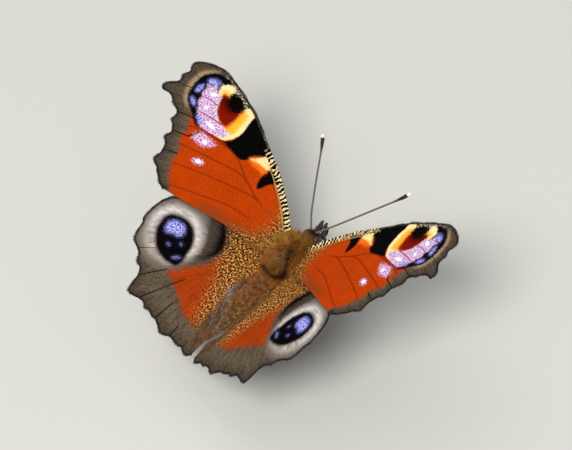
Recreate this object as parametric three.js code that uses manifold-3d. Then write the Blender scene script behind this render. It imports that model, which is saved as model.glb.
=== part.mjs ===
// Peacock butterfly, standing on its four walking legs with the wings held open in a shallow V.
// Millimetres, +Z up, head toward -Y. The origin is on the floor, below the middle of the body.
import * as THREE from 'three';
import { mergeVertices } from 'three/addons/utils/BufferGeometryUtils.js';
import Module from 'manifold-3d';

const wasm = await Module();
wasm.setup();

// Stance: the wing hinge line is tilted head up and carried above the floor.
const PITCH = THREE.MathUtils.degToRad(8);
const HINGE_HEIGHT = 8.9;
const GAP = 0.3;

// Wings: each lies in its own plane, u outward and v forward from the hinge line.
const FORE_DIHEDRAL = THREE.MathUtils.degToRad(24.2);
const HIND_DIHEDRAL = THREE.MathUtils.degToRad(20.8);
const HIND_NOSE_UP = THREE.MathUtils.degToRad(2.6);
const HIND_RAISE = 1.9;
const MEMBRANE = 0.5;
const RIDGE_TOP = 0.16;
const RIDGE_UNDER = 0.08;
const RIDGE_FLANK = 0.38;
const FORE_LIFT = 1.6;
const HIND_DROP = 2.7;
const HIND_DROP_REACH = 7;
const HIND_DROP_CENTRE = [4, -1];
const WING_STATIONS = [0, 0.1, 0.2, 0.3, 0.4, 0.5, 0.62, 0.74, 0.84, 0.92, 1];

// Body sections in the hinge frame: [forward, half width, top, bottom], from the front to the rear.
const THORAX_RINGS = [
  [2.5, 1.15, 0.7, -1.55], [1.95, 2.0, 2.05, -2.35], [1.0, 2.6, 3.05, -2.9], [-0.2, 2.95, 3.6, -3.2],
  [-1.6, 3.05, 3.75, -3.25], [-3.0, 2.9, 3.5, -2.95], [-4.1, 2.45, 2.95, -2.4], [-4.8, 1.75, 2.15, -1.6],
];
const HEAD_RINGS = [
  [5.05, 0.85, -0.25, -1.7], [4.6, 1.25, 0.2, -2.05], [3.9, 1.4, 0.65, -2.1], [3.2, 1.3, 0.65, -1.9],
  [2.8, 0.95, 0.4, -1.45],
];
const EYE = { out: 1.15, fwd: 4.05, up: -0.7, halfOut: 0.58, halfFwd: 0.85, halfUp: 0.95 };
const ABDOMEN_FRONT = -5.1;
const ABDOMEN_LENGTH = 12.5;
const ABDOMEN_SEGMENTS = 8;
const ABDOMEN_RADIUS = 2.1;
const ABDOMEN_TIP_RADIUS = 0.45;
const ABDOMEN_AXIS_UP = 0.12;
const ABDOMEN_RISE = 0.8;
const ABDOMEN_RISE_POWER = 1.5;
const ABDOMEN_SWELL = { from: 0.3, span: 0.62, power: 0.8 };
const ABDOMEN_TAPER = { from: 0.55, share: 0.75 };
const SEGMENT_STEP = 0.1;
const BODY_SIDES = 14;

// Feelers: centre line of each antenna, then the shaft and club radii.
const ANTENNA_PATHS = {
  left: [[0.5, 4.72, 0.55], [2.5, 6.8, 0.3], [4.27, 8.95, 0.2], [6.27, 12.0, 0.75], [8.57, 15.7, 1.52],
    [10.05, 17.93, 2.12]],
  right: [[0.5, 4.72, 0.55], [2.4, 7.5, 0.3], [4.27, 10.4, 0.45], [6.27, 13.0, 0.98], [8.57, 16.0, 1.6],
    [10.05, 18.07, 2.15]],
};
const ANTENNA_SHAFT = 0.26;
const ANTENNA_CLUB = 0.38;
const ANTENNA_STEPS = 16;
const PALP_PATH = [[0.56, 5.38, -1.4], [0.63, 5.9, -1.25], [0.5, 6.5, -0.8]];
const PALP_RADII = [0.32, 0.44, 0.42, 0.3, 0.12];
const COIL = {
  fwd: 4.95,
  up: -3.45,
  startRadius: 0.85,
  endRadius: 0.34,
  turns: 1.3,
  halfWidth: 0.26,
  thinning: 0.004,
};

// Legs: joints as [out, forward, height] from the point on the floor below the hinge origin.
const LEGS = {
  mid: {
    hip: [1.3, 0.6, 5.72],
    knee: [4.6, 2.2, 6.15],
    ankle: [6.7, 3.3, 0.62],
    toe: [9.1, 5.4, 0.24],
  },
  hind: {
    hip: [1.15, -1.65, 5.3],
    knee: [4.3, -4.0, 5.75],
    ankle: [6.1, -7.0, 0.62],
    toe: [7.6, -9.9, 0.24],
  },
};
const FEMUR_RADII = [0.34, 0.45, 0.42, 0.34, 0.28];
const TIBIA_RADII = [0.27, 0.31, 0.28, 0.26];
const TARSUS_RADII = [0.25, 0.27, 0.26, 0.26, 0.25];
const FORELEG_PATH = [[0.85, 1.75, -2.95], [0.8, 2.9, -3.0], [0.75, 4.1, -2.75]];
const FORELEG_RADII = [0.3, 0.42, 0.36, 0.3, 0.16];

const COLOUR = {
  fur: 0x7a5124,
  head: 0x4a3423,
  eye: 0x3a1c12,
  palp: 0x3d332f,
  horn: 0x2e2724,
  foreWing: 0xc8401a,
  hindWing: 0x9c4a22,
  leg: 0x5b4028,
};

const model = new THREE.Group();
const body = new THREE.Group();
body.rotation.x = -PITCH;
body.position.z = HINGE_HEIGHT;
model.add(body);

function material(colour, roughness) {
  return new THREE.MeshStandardMaterial({ color: colour, roughness, metalness: 0 });
}

function addMesh(parent, name, geometry, colour, roughness) {
  const mesh = new THREE.Mesh(geometry, material(colour, roughness));
  mesh.name = name;
  parent.add(mesh);
  return mesh;
}

// A place in the hinge frame: out from the midline on one side, forward and up.
function place(side, out, fwd, up) {
  return new THREE.Vector3(side * out, -fwd, up);
}

function smooth(low, high, value) {
  return THREE.MathUtils.smoothstep(value, low, high);
}

function solidOf(geometry) {
  const bare = geometry.clone();
  bare.deleteAttribute('normal');
  bare.deleteAttribute('uv');
  const merged = mergeVertices(bare, 1e-4);
  const mesh = new wasm.Mesh({
    numProp: 3,
    vertProperties: Float32Array.from(merged.attributes.position.array),
    triVerts: Uint32Array.from(merged.index.array),
  });
  return new wasm.Manifold(mesh);
}

function geometryOf(solid) {
  const pieces = solid.decompose();
  const largest = pieces.reduce((a, b) => (b.volume() > a.volume() ? b : a));
  const mesh = largest.getMesh();
  const geometry = new THREE.BufferGeometry();
  geometry.setAttribute('position', new THREE.BufferAttribute(mesh.vertProperties, 3));
  geometry.setIndex(new THREE.BufferAttribute(mesh.triVerts, 1));
  return geometry;
}

function meshFromFaces(points, faces) {
  const flat = points.flatMap((p) => [p.x, p.y, p.z]);
  const geometry = new THREE.BufferGeometry();
  geometry.setAttribute('position', new THREE.BufferAttribute(new Float32Array(flat), 3));
  geometry.setIndex(faces.flat());
  return geometry;
}

// A closed body from rings of equal length, capped by a point at each end; ring order sets the facing.
function loftRings(rings, firstTip, lastTip, flip) {
  const count = rings[0].length;
  const points = rings.flat();
  const first = points.push(firstTip) - 1;
  const last = points.push(lastTip) - 1;
  const faces = [];
  for (let ring = 0; ring < rings.length - 1; ring += 1) {
    for (let k = 0; k < count; k += 1) {
      const a = ring * count + k;
      const b = ring * count + ((k + 1) % count);
      faces.push([a, b, b + count], [a, b + count, a + count]);
    }
  }
  const end = (rings.length - 1) * count;
  for (let k = 0; k < count; k += 1) {
    const next = (k + 1) % count;
    faces.push([first, next, k], [last, end + k, end + next]);
  }
  return meshFromFaces(points, flip ? faces.map(([a, b, c]) => [a, c, b]) : faces);
}

// A tapered rod through a few points, round in section, with flat ends.
function rod(path, radii, sides) {
  const curve = path.length > 2 ? new THREE.CatmullRomCurve3(path) : new THREE.LineCurve3(...path);
  const steps = radii.length - 1;
  const rings = [];
  let across = new THREE.Vector3(0, 0, 1);
  for (let step = 0; step <= steps; step += 1) {
    const centre = curve.getPoint(step / steps);
    const along = curve.getTangent(step / steps);
    if (Math.abs(across.dot(along)) > 0.9) across = new THREE.Vector3(1, 0, 0);
    const side = new THREE.Vector3().crossVectors(along, across).normalize();
    across = new THREE.Vector3().crossVectors(side, along).normalize();
    const ring = [];
    for (let k = 0; k < sides; k += 1) {
      const turn = (k / sides) * 2 * Math.PI;
      ring.push(centre.clone()
        .addScaledVector(side, Math.cos(turn) * radii[step])
        .addScaledVector(across, Math.sin(turn) * radii[step]));
    }
    rings.push(ring);
  }
  const start = curve.getPoint(0);
  const finish = curve.getPoint(1);
  return loftRings(rings, start, finish, true);
}

// Wing planes.
function forePoint(side, u, v, rise) {
  const trailing = THREE.MathUtils.clamp((2 - v) / 7.5, 0, 1);
  const lift = FORE_LIFT * trailing ** 0.8 * smooth(2.5, 11, u) * (1 - 0.35 * smooth(17, 26, u));
  const out = u * Math.cos(FORE_DIHEDRAL) - rise * Math.sin(FORE_DIHEDRAL);
  const up = u * Math.sin(FORE_DIHEDRAL) + rise * Math.cos(FORE_DIHEDRAL) + lift;
  return place(side, out, v, up);
}

function hindPoint(side, u, v, rise) {
  const away = (u - HIND_DROP_CENTRE[0]) ** 2 + (v - HIND_DROP_CENTRE[1]) ** 2;
  const drop = HIND_DROP * Math.exp(-away / (2 * HIND_DROP_REACH ** 2));
  const out = u * Math.cos(HIND_DIHEDRAL) - rise * Math.sin(HIND_DIHEDRAL);
  const level = u * Math.sin(HIND_DIHEDRAL) + rise * Math.cos(HIND_DIHEDRAL);
  const up = HIND_RAISE + level + v * Math.sin(HIND_NOSE_UP) - drop;
  return place(side, out, v * Math.cos(HIND_NOSE_UP), up);
}

// Forewing rays from root to margin: [station, u, v] knots. Rays that share a stem share its knots.
const RADIUS_STEM = [[0, 3.0, 1.1], [0.2, 6.4, 4.1], [0.4, 11.0, 6.8], [0.5, 13.4, 8.0]];
const RADIUS_FORK = [...RADIUS_STEM, [0.62, 17.4, 10.0]];
const CUBITUS_STEM = [[0, 3.2, 0.6], [0.2, 6.6, 1.95], [0.4, 10.6, 2.85]];
const CUBITUS_FORK = [...CUBITUS_STEM, [0.5, 14.3, 4.3]];
const FORE_RAYS = [
  {
    vein: true,
    knots: [[0, 2.6, 1.7], [0.1, 3.7, 3.45], [0.2, 5.6, 5.1], [0.5, 10.2, 8.25], [1, 16.4, 11.3]],
  },
  {
    vein: true,
    knots: [[0, 2.9, 1.4], [0.1, 4.3, 3.2], [0.2, 6.2, 4.7], [0.5, 12.4, 8.4], [1, 19.8, 12.95]],
  },
  { vein: true, knots: [...RADIUS_STEM, [0.74, 18.4, 11.5], [1, 23.2, 14.0]] },
  { vein: true, knots: [...RADIUS_FORK, [0.84, 22.8, 12.9], [1, 27.1, 14.85]] },
  { vein: true, knots: [...RADIUS_FORK, [0.74, 20.6, 11.2], [0.92, 27.6, 13.5], [1, 30.7, 14.05]] },
  { vein: true, knots: [...RADIUS_FORK, [0.74, 20.6, 11.2], [0.92, 28.6, 12.5], [1, 32.45, 12.35]] },
  { vein: true, knots: [...RADIUS_FORK, [0.74, 20.9, 10.7], [0.92, 29.4, 10.9], [1, 32.5, 10.15]] },
  { vein: true, knots: [...RADIUS_FORK, [0.74, 21.2, 10.35], [0.92, 28.8, 9.1], [1, 33.7, 7.15]] },
  {
    vein: true,
    bareTo: 0.62,
    knots: [
      [0, 3.1, 0.85], [0.2, 6.5, 3.0], [0.4, 10.8, 4.8],
      [0.62, 17.3, 8.1], [0.84, 24.6, 7.75], [1, 30.6, 5.7],
    ],
  },
  { vein: true, knots: [...CUBITUS_FORK, [0.62, 17.0, 5.95], [0.84, 23.4, 5.6], [1, 28.9, 3.55]] },
  { vein: true, knots: [...CUBITUS_FORK, [0.62, 17.8, 3.45], [0.84, 23.3, 2.0], [1, 27.6, 0.65]] },
  { vein: true, knots: [...CUBITUS_STEM, [0.62, 17.0, 0.8], [0.84, 22.5, -1.2], [1, 26.15, -3.0]] },
  {
    vein: true,
    knots: [[0, 3.3, 0.1], [0.2, 7.0, -0.25], [0.5, 12.4, -1.0], [0.84, 19.8, -4.15], [1, 22.7, -5.3]],
  },
  {
    vein: false,
    knots: [[0, 3.3, -1.6], [0.2, 6.4, -3.1], [0.5, 11.8, -4.0], [0.84, 18.2, -5.3], [1, 21.2, -5.75]],
  },
];
const FORE_NOTCHES = [
  [18.1, 12.2], [21.6, 13.5], [25.1, 14.5], [29.0, 14.85], [31.8, 13.45], [32.0, 11.3], [32.2, 9.1],
  [32.2, 6.45], [29.0, 5.05], [27.6, 2.3], [26.4, -0.8], [24.5, -3.95], [21.9, -5.6],
];

// Hindwing rays, the same way.
const HIND_STEM = [[0, 3.0, -2.5], [0.2, 5.3, -3.6]];
const HIND_RADIAL = [...HIND_STEM, [0.4, 8.6, -5.9]];
const HIND_CUBITUS = [[0, 2.9, -3.2], [0.2, 4.6, -6.2], [0.4, 5.9, -9.2]];
const HIND_RAYS = [
  { vein: true, knots: [[0, 3.2, -1.0], [0.2, 6.4, -1.6], [0.5, 11.0, -2.2], [1, 16.2, -3.6]] },
  { vein: true, knots: [...HIND_STEM, [0.5, 11.5, -4.4], [1, 19.5, -5.6]] },
  { vein: true, knots: [...HIND_RADIAL, [0.62, 13.0, -7.0], [1, 20.75, -10.0]] },
  { vein: true, knots: [...HIND_RADIAL, [0.62, 12.3, -8.6], [1, 19.8, -14.1]] },
  {
    vein: true,
    bareTo: 0.5,
    knots: [[0, 2.95, -2.85], [0.2, 4.95, -4.9], [0.5, 8.9, -8.9], [1, 17.0, -16.5]],
  },
  { vein: true, knots: [...HIND_CUBITUS, [0.5, 7.7, -11.0], [0.74, 10.8, -15.2], [1, 14.8, -21.1]] },
  { vein: true, knots: [...HIND_CUBITUS, [0.5, 7.7, -11.0], [0.74, 9.4, -15.8], [1, 10.9, -21.4]] },
  { vein: true, knots: [...HIND_CUBITUS, [0.62, 6.3, -14.0], [1, 6.6, -22.7]] },
  { vein: true, knots: [[0, 2.8, -3.7], [0.4, 3.7, -9.5], [0.74, 3.7, -16.5], [1, 3.4, -22.4]] },
  {
    vein: false,
    knots: [[0, 2.6, -4.5], [0.2, 2.7, -7.5], [0.5, 2.2, -13.0], [0.84, 0.8, -18.6], [1, 0.6, -22.2]],
  },
];
const HIND_NOTCHES = [
  [17.9, -4.5], [20.4, -7.4], [20.25, -12.0], [18.2, -15.2], [15.5, -17.5], [12.6, -20.85],
  [8.8, -21.6], [5.0, -22.2], [2.1, -22.55],
];

// Half width of the thorax, at a place along it and at a height.
function thoraxSide(fwd, up) {
  let k = 0;
  while (k < THORAX_RINGS.length - 2 && fwd < THORAX_RINGS[k + 1][0]) k += 1;
  const from = THORAX_RINGS[k];
  const to = THORAX_RINGS[k + 1];
  const f = THREE.MathUtils.clamp((fwd - from[0]) / (to[0] - from[0]), 0, 1);
  const [, halfWidth, top, bottom] = from.map((value, i) => value + (to[i] - value) * f);
  const level = (2 * up - top - bottom) / (top - bottom);
  return halfWidth * Math.sqrt(Math.max(0, 1 - level * level));
}

// The wing root follows the side of the thorax, one gap away from it.
function seatRoots(rays, surface) {
  for (const ray of rays) {
    const root = ray.knots[0];
    let u = root[1];
    for (let pass = 0; pass < 6; pass += 1) {
      const spot = surface(1, u, root[2], 0);
      u += (thoraxSide(-spot.y, spot.z) + GAP - spot.x);
    }
    ray.knots = [[0, u, root[2]], ...ray.knots.slice(1)];
  }
}
seatRoots(FORE_RAYS, forePoint);
seatRoots(HIND_RAYS, hindPoint);

function rayPoint(ray, station) {
  const { knots } = ray;
  let k = 0;
  while (k < knots.length - 2 && station > knots[k + 1][0]) k += 1;
  const [s0, u0, v0] = knots[k];
  const [s1, u1, v1] = knots[k + 1];
  const f = (station - s0) / (s1 - s0);
  return [u0 + (u1 - u0) * f, v0 + (v1 - v0) * f];
}

// One row across the wing: a crest on each vein, a flank on each side of it and a fold between veins.
function wingRow(rays, notches, station) {
  const row = [];
  rays.forEach((ray, i) => {
    const here = rayPoint(ray, station);
    const crest = ray.vein && station >= (ray.bareTo ?? 0) ? 1 - 0.5 * station : 0;
    row.push({ u: here[0], v: here[1], crest });
    if (i === rays.length - 1) return;
    const next = rayPoint(rays[i + 1], station);
    const nextCrest = rays[i + 1].vein && station >= (rays[i + 1].bareTo ?? 0) ? 1 - 0.5 * station : 0;
    const wide = Math.hypot(next[0] - here[0], next[1] - here[1]);
    const merged = wide < 1e-6;
    const flank = merged ? 0 : Math.min(RIDGE_FLANK / wide, 0.28);
    const fold = station === 1 ? notches[i] : [(here[0] + next[0]) / 2, (here[1] + next[1]) / 2];
    const toward = (from, to, f) => [from[0] + (to[0] - from[0]) * f, from[1] + (to[1] - from[1]) * f];
    const first = toward(here, fold, flank * 2);
    const second = toward(next, fold, flank * 2);
    const low = merged ? Math.max(crest, nextCrest) : 0;
    [first, fold, second].forEach(([u, v]) => row.push({ u, v, crest: low }));
  });
  return row;
}

function wingGeometry(rays, notches, surface, side) {
  const rows = WING_STATIONS.map((station) => wingRow(rays, notches, station));
  const points = [];
  const seen = new Map();
  const index = (spot, face) => {
    const key = `${spot.u.toFixed(3)} ${spot.v.toFixed(3)} ${face}`;
    if (!seen.has(key)) {
      const ridge = face > 0 ? RIDGE_TOP : RIDGE_UNDER;
      points.push(surface(side, spot.u, spot.v, face * (MEMBRANE / 2 + spot.crest * ridge)));
      seen.set(key, points.length - 1);
    }
    return seen.get(key);
  };
  const faces = [];
  const triangle = (a, b, c) => {
    if (a !== b && b !== c && c !== a) faces.push(side > 0 ? [a, c, b] : [a, b, c]);
  };
  const quad = (a, b, c, d) => {
    triangle(a, b, c);
    triangle(a, c, d);
  };
  const last = rows[0].length - 1;
  for (let r = 0; r < rows.length - 1; r += 1) {
    for (let k = 0; k < last; k += 1) {
      const corners = [rows[r][k], rows[r + 1][k], rows[r + 1][k + 1], rows[r][k + 1]];
      const top = corners.map((spot) => index(spot, 1));
      const under = corners.map((spot) => index(spot, -1));
      quad(top[0], top[3], top[2], top[1]);
      const flipped = (a, b, c) => triangle(a, c, b);
      flipped(under[0], under[3], under[2]);
      flipped(under[0], under[2], under[1]);
    }
  }
  const rim = (a, b) => quad(index(a, 1), index(b, 1), index(b, -1), index(a, -1));
  for (let k = 0; k < last; k += 1) {
    rim(rows[0][k + 1], rows[0][k]);
    rim(rows[rows.length - 1][k], rows[rows.length - 1][k + 1]);
  }
  for (let r = 0; r < rows.length - 1; r += 1) {
    rim(rows[r][0], rows[r + 1][0]);
    rim(rows[r + 1][last], rows[r][last]);
  }
  return meshFromFaces(points, faces);
}

for (const [label, side] of [['left', 1], ['right', -1]]) {
  addMesh(body, `forewing_${label}`, wingGeometry(FORE_RAYS, FORE_NOTCHES, forePoint, side),
    COLOUR.foreWing, 0.8);
  addMesh(body, `hindwing_${label}`, wingGeometry(HIND_RAYS, HIND_NOTCHES, hindPoint, side),
    COLOUR.hindWing, 0.8);
}

// Head, thorax and abdomen.
function sectionRing(fwd, halfWidth, top, bottom) {
  const ring = [];
  for (let k = 0; k < BODY_SIDES; k += 1) {
    const turn = (k / BODY_SIDES) * 2 * Math.PI;
    const up = (top + bottom) / 2 + ((top - bottom) / 2) * Math.sin(turn);
    ring.push(place(1, halfWidth * Math.cos(turn), fwd, up));
  }
  return ring;
}

function sectionSolid(sections) {
  const rings = sections.map((section) => sectionRing(...section));
  const middle = ([fwd, , top, bottom]) => place(1, 0, fwd, (top + bottom) / 2);
  return loftRings(rings, middle(sections[0]), middle(sections[sections.length - 1]), true);
}

function eyeSolid(side, grow) {
  const ball = new THREE.SphereGeometry(1, 14, 10);
  ball.scale(EYE.halfOut + grow, EYE.halfFwd + grow, EYE.halfUp + grow);
  ball.translate(side * EYE.out, -EYE.fwd, EYE.up);
  return solidOf(ball);
}

const headCore = solidOf(sectionSolid(HEAD_RINGS));
const headSolid = headCore.subtract(eyeSolid(1, GAP)).subtract(eyeSolid(-1, GAP));
addMesh(body, 'head', geometryOf(headSolid), COLOUR.head, 0.85);
addMesh(body, 'thorax', sectionSolid(THORAX_RINGS), COLOUR.fur, 0.9);

function abdomenSections() {
  const sections = [];
  for (let segment = 0; segment < ABDOMEN_SEGMENTS; segment += 1) {
    for (const [part, step] of [[0.04, SEGMENT_STEP], [0.9, 0]]) {
      const s = (segment + part) / ABDOMEN_SEGMENTS;
      const phase = Math.PI * (ABDOMEN_SWELL.from + ABDOMEN_SWELL.span * s);
      const swell = Math.sin(phase) ** ABDOMEN_SWELL.power;
      const lost = (1 - ABDOMEN_TIP_RADIUS / ABDOMEN_RADIUS) * ABDOMEN_TAPER.share;
      const taper = 1 - smooth(ABDOMEN_TAPER.from, 1, s) * lost;
      const radius = ABDOMEN_RADIUS * swell * taper - step;
      const centre = ABDOMEN_AXIS_UP + ABDOMEN_RISE * s ** ABDOMEN_RISE_POWER;
      sections.push([ABDOMEN_FRONT - ABDOMEN_LENGTH * s, radius, centre + radius, centre - radius]);
    }
  }
  return sections;
}
addMesh(body, 'abdomen', sectionSolid(abdomenSections()), COLOUR.fur, 0.9);

// Eyes, feelers, palps, tongue and the folded forelegs, on each side.
for (const [label, side] of [['left', 1], ['right', -1]]) {
  const along = (path) => path.map(([out, fwd, up]) => place(side, out, fwd, up));
  addMesh(body, `eye_${label}`, geometryOf(eyeSolid(side, 0)), COLOUR.eye, 0.3);
  const club = (step) => {
    const s = step / ANTENNA_STEPS;
    return smooth(0.8, 0.9, s) - 0.6 * smooth(0.94, 1, s);
  };
  const radii = Array.from({ length: ANTENNA_STEPS + 1 },
    (_, step) => ANTENNA_SHAFT + (ANTENNA_CLUB - ANTENNA_SHAFT) * club(step));
  addMesh(body, `antenna_${label}`, rod(along(ANTENNA_PATHS[label]), radii, 8), COLOUR.horn, 0.6);
  addMesh(body, `palp_${label}`, rod(along(PALP_PATH), PALP_RADII, 8), COLOUR.palp, 0.85);
  addMesh(body, `foreleg_${label}`, rod(along(FORELEG_PATH), FORELEG_RADII, 8), COLOUR.leg, 0.85);
}

function coilPath() {
  const path = [];
  const steps = 18;
  for (let step = 0; step <= steps; step += 1) {
    const f = step / steps;
    const radius = COIL.startRadius + (COIL.endRadius - COIL.startRadius) * f;
    const turn = Math.PI * 0.62 - f * COIL.turns * 2 * Math.PI;
    path.push([0, COIL.fwd + radius * Math.cos(turn), COIL.up + radius * Math.sin(turn)]);
  }
  return path;
}
const tongue = coilPath().map(([out, fwd, up]) => place(1, out, fwd, up));
const tongueRadii = tongue.map((_, k) => COIL.halfWidth - COIL.thinning * k);
addMesh(body, 'proboscis', rod(tongue, tongueRadii, 6), COLOUR.horn, 0.5);

// Walking legs, built from the floor up.
const stand = new THREE.Group();
model.add(stand);

function between(from, to, clearStart, clearEnd) {
  const span = from.distanceTo(to);
  return [from.clone().lerp(to, clearStart / span), to.clone().lerp(from, clearEnd / span)];
}

function flatUnder(geometry) {
  const spots = geometry.attributes.position;
  for (let k = 0; k < spots.count; k += 1) spots.setZ(k, Math.max(spots.getZ(k), 0));
  return geometry;
}

for (const [pair, joints] of Object.entries(LEGS)) {
  for (const [label, side] of [['left', 1], ['right', -1]]) {
    const at = (joint) => place(side, ...joints[joint]);
    const femur = between(at('hip'), at('knee'), 0, GAP / 2);
    const tibia = between(at('knee'), at('ankle'), GAP / 2 + 0.3, GAP / 2);
    const tarsus = between(at('ankle'), at('toe'), GAP / 2 + 0.2, 0);
    addMesh(stand, `femur_${pair}_${label}`, rod(femur, FEMUR_RADII, 8), COLOUR.leg, 0.8);
    addMesh(stand, `tibia_${pair}_${label}`, rod(tibia, TIBIA_RADII, 8), COLOUR.leg, 0.8);
    addMesh(stand, `tarsus_${pair}_${label}`, flatUnder(rod(tarsus, TARSUS_RADII, 8)), COLOUR.leg, 0.8);
  }
}

// The origin is on the floor, under the middle of the whole butterfly.
const extent = new THREE.Box3().setFromObject(model, true);
const middle = extent.getCenter(new THREE.Vector3());
model.position.set(-middle.x, -middle.y, 0);

export default model;
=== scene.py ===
# %% [markdown]
# A peacock butterfly, Aglais io, life size, standing on its four walking legs with the wings held in a V.
# The solids of the part come in first. They fix every size, so their box is kept before anything is added.

# %% Load the solids
import math

import bpy
import numpy as np
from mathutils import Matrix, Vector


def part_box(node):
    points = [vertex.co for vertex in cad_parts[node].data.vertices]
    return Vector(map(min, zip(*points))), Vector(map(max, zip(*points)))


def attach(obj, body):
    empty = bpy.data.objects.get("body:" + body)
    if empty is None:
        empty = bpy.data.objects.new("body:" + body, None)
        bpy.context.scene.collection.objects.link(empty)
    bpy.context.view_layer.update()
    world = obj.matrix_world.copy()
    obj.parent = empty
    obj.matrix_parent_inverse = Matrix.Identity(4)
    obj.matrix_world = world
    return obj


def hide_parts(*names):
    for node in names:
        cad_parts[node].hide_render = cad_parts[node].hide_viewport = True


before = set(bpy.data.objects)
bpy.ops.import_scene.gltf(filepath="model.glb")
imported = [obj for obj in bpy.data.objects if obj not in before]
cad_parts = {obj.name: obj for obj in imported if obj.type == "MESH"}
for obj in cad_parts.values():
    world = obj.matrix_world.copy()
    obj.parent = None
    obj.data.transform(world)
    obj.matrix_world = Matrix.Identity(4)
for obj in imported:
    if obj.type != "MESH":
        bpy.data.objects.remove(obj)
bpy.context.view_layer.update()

# %% [markdown]
# The butterfly is worked out in its own frame: millimetres out from the midline, forward and up, measured
# from the line where the wings hinge. That frame is tilted head up and carried above the floor by the legs,
# and slid along so that the whole animal is centred. The slide is read from the left eye of the solids.

# %% The butterfly's own frame
MM = 0.001
PITCH = math.radians(8)
HINGE_HEIGHT = 8.9
EYE = {"out": 1.15, "fwd": 4.05, "up": -0.7, "half_out": 0.58, "half_fwd": 0.85, "half_up": 0.95}


def together(*parts):
    """The same parts as float arrays of one shape."""
    return np.broadcast_arrays(*(np.asarray(part, float) for part in parts))


def tilted(out, fwd, up):
    """Places in the butterfly's frame, in mm, before the slide along the floor."""
    out, fwd, up = together(out, fwd, up)
    along = up * math.sin(PITCH) - fwd * math.cos(PITCH)
    height = fwd * math.sin(PITCH) + up * math.cos(PITCH) + HINGE_HEIGHT
    return np.stack([out, along, height], -1)


eye_low, eye_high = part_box("eye_left")
eye_there = np.array((eye_low + eye_high) / 2) / MM
SLIDE = eye_there[1] - tilted(EYE["out"], EYE["fwd"], EYE["up"])[1]


def placed(out, fwd, up):
    """The same places as points of the model, in metres."""
    return (tilted(out, fwd, up) + [0, SLIDE, 0]) * MM


def standing(out, fwd, height):
    """Places measured from the floor below the hinge line, for the legs, in metres."""
    out, fwd, height = together(out, fwd, height)
    return np.stack([out, SLIDE - fwd, height], -1) * MM


print("slide along the floor in mm", round(float(SLIDE), 3))

# %% [markdown]
# The camera looks down on the butterfly from its right, behind the head, through a long lens. A camera or
# lamp is given by the point it looks at, the direction it looks from, its distance and its roll.

# %% Camera
PHOTO_WIDTH_PX = 572
FOCAL_PX = 2500
SENSOR_MM = 36
VIEW = {"azimuth": 244.91, "elevation": 49.733, "distance_mm": 380.96, "target_mm": (1.071, -3.873, 14.213),
        "roll": -22.452}


def unit(v):
    """Directions with the length 1."""
    v = np.asarray(v, float)
    return v / np.maximum(np.linalg.norm(v, axis=-1, keepdims=True), 1e-12)


def aim(thing, azimuth, elevation, distance_mm, target_mm=(0, 0, 0), roll=0):
    """Places a camera or lamp that looks at a target from a direction. Angles are in degrees."""
    azimuth, elevation, roll = (math.radians(angle) for angle in (azimuth, elevation, roll))
    level = math.cos(elevation)
    back = np.array([math.sin(azimuth) * level, -math.cos(azimuth) * level, math.sin(elevation)])
    right = unit(np.cross([0, 0, 1], back))
    right = right * math.cos(roll) + np.cross(back, right) * math.sin(roll)
    matrix = np.eye(4)
    matrix[:3, :3] = np.stack([right, np.cross(back, right), back], 1)
    matrix[:3, 3] = (np.array(target_mm) + back * distance_mm) * MM
    thing.matrix_world = matrix.T.tolist()


bpy.ops.object.camera_add()
camera = bpy.context.object
aim(camera, **VIEW)
camera.data.sensor_width = SENSOR_MM
camera.data.lens = FOCAL_PX / PHOTO_WIDTH_PX * SENSOR_MM
camera.data.clip_start = 0.01
camera.data.clip_end = 10
bpy.context.scene.camera = camera
bpy.context.scene.view_settings.view_transform = "Standard"
print("camera at mm", [round(v / MM, 1) for v in camera.location], "lens", round(camera.data.lens, 1))

# %% [markdown]
# A few helpers serve every piece. A colour is given as sRGB hex and turned to linear once. One function
# adds a shader node. A finished piece gets its material and a parent empty, and the solids that it stands
# for are hidden.

# %% Helpers
random = np.random.default_rng(7)


def linear(hex_colour):
    """An sRGB hex colour as linear red, green, blue and alpha."""
    parts = [int(hex_colour[k:k + 2], 16) / 255 for k in (1, 3, 5)]
    return tuple(p / 12.92 if p <= 0.04045 else ((p + 0.055) / 1.055) ** 2.4 for p in parts) + (1.0,)


def add_node(tree, kind, settings=None, inputs=None, out=0):
    """Adds a node with its properties, and its inputs as values or as links. Gives back its socket out."""
    made = tree.nodes.new(kind)
    for key, value in (settings or {}).items():
        setattr(made, key, value)
    for key, value in (inputs or {}).items():
        socket = made.inputs[key]
        if isinstance(value, bpy.types.NodeSocket):
            tree.links.new(value, socket)
        else:
            socket.default_value = value
    return made.outputs[out] if made.outputs else None


def new_material(name):
    """An empty node material and its tree."""
    made = bpy.data.materials.new(name)
    made.use_nodes = True
    made.node_tree.nodes.clear()
    return made, made.node_tree


def finish_material(tree, colour, bump=None, bump_strength=0.3, bump_mm=0.03, **shader):
    """Closes a tree with a principled shader. shader names the shader's own sockets."""
    inputs = {key.replace("_", " "): value for key, value in shader.items()}
    inputs["Base Color"] = colour
    if bump is not None:
        inputs["Normal"] = add_node(tree, "ShaderNodeBump", inputs={
            "Strength": bump_strength, "Distance": bump_mm * MM, "Height": bump})
    surface = add_node(tree, "ShaderNodeBsdfPrincipled", inputs=inputs)
    add_node(tree, "ShaderNodeOutputMaterial", inputs={"Surface": surface})


def finish_piece(piece, name, materials, stands_for):
    """Names a piece, gives it its finish, hangs it under the root empty and hides the solids it stands for.
    """
    piece.name = name
    piece.data.name = name
    piece.data.materials.clear()
    for made in materials:
        piece.data.materials.append(made)
    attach(piece, "root")
    if stands_for:
        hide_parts(*stands_for)
    piece.data.calc_loop_triangles()
    print(name, "triangles", len(piece.data.loop_triangles))
    return piece


# %% [markdown]
# A line of points serves for veins, margins, legs and feelers alike. It is measured along its length, read
# between its points, or rounded into a smooth curve through them.

# %% Lines of points
SIDES = ((1, "left"), (-1, "right"))


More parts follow.
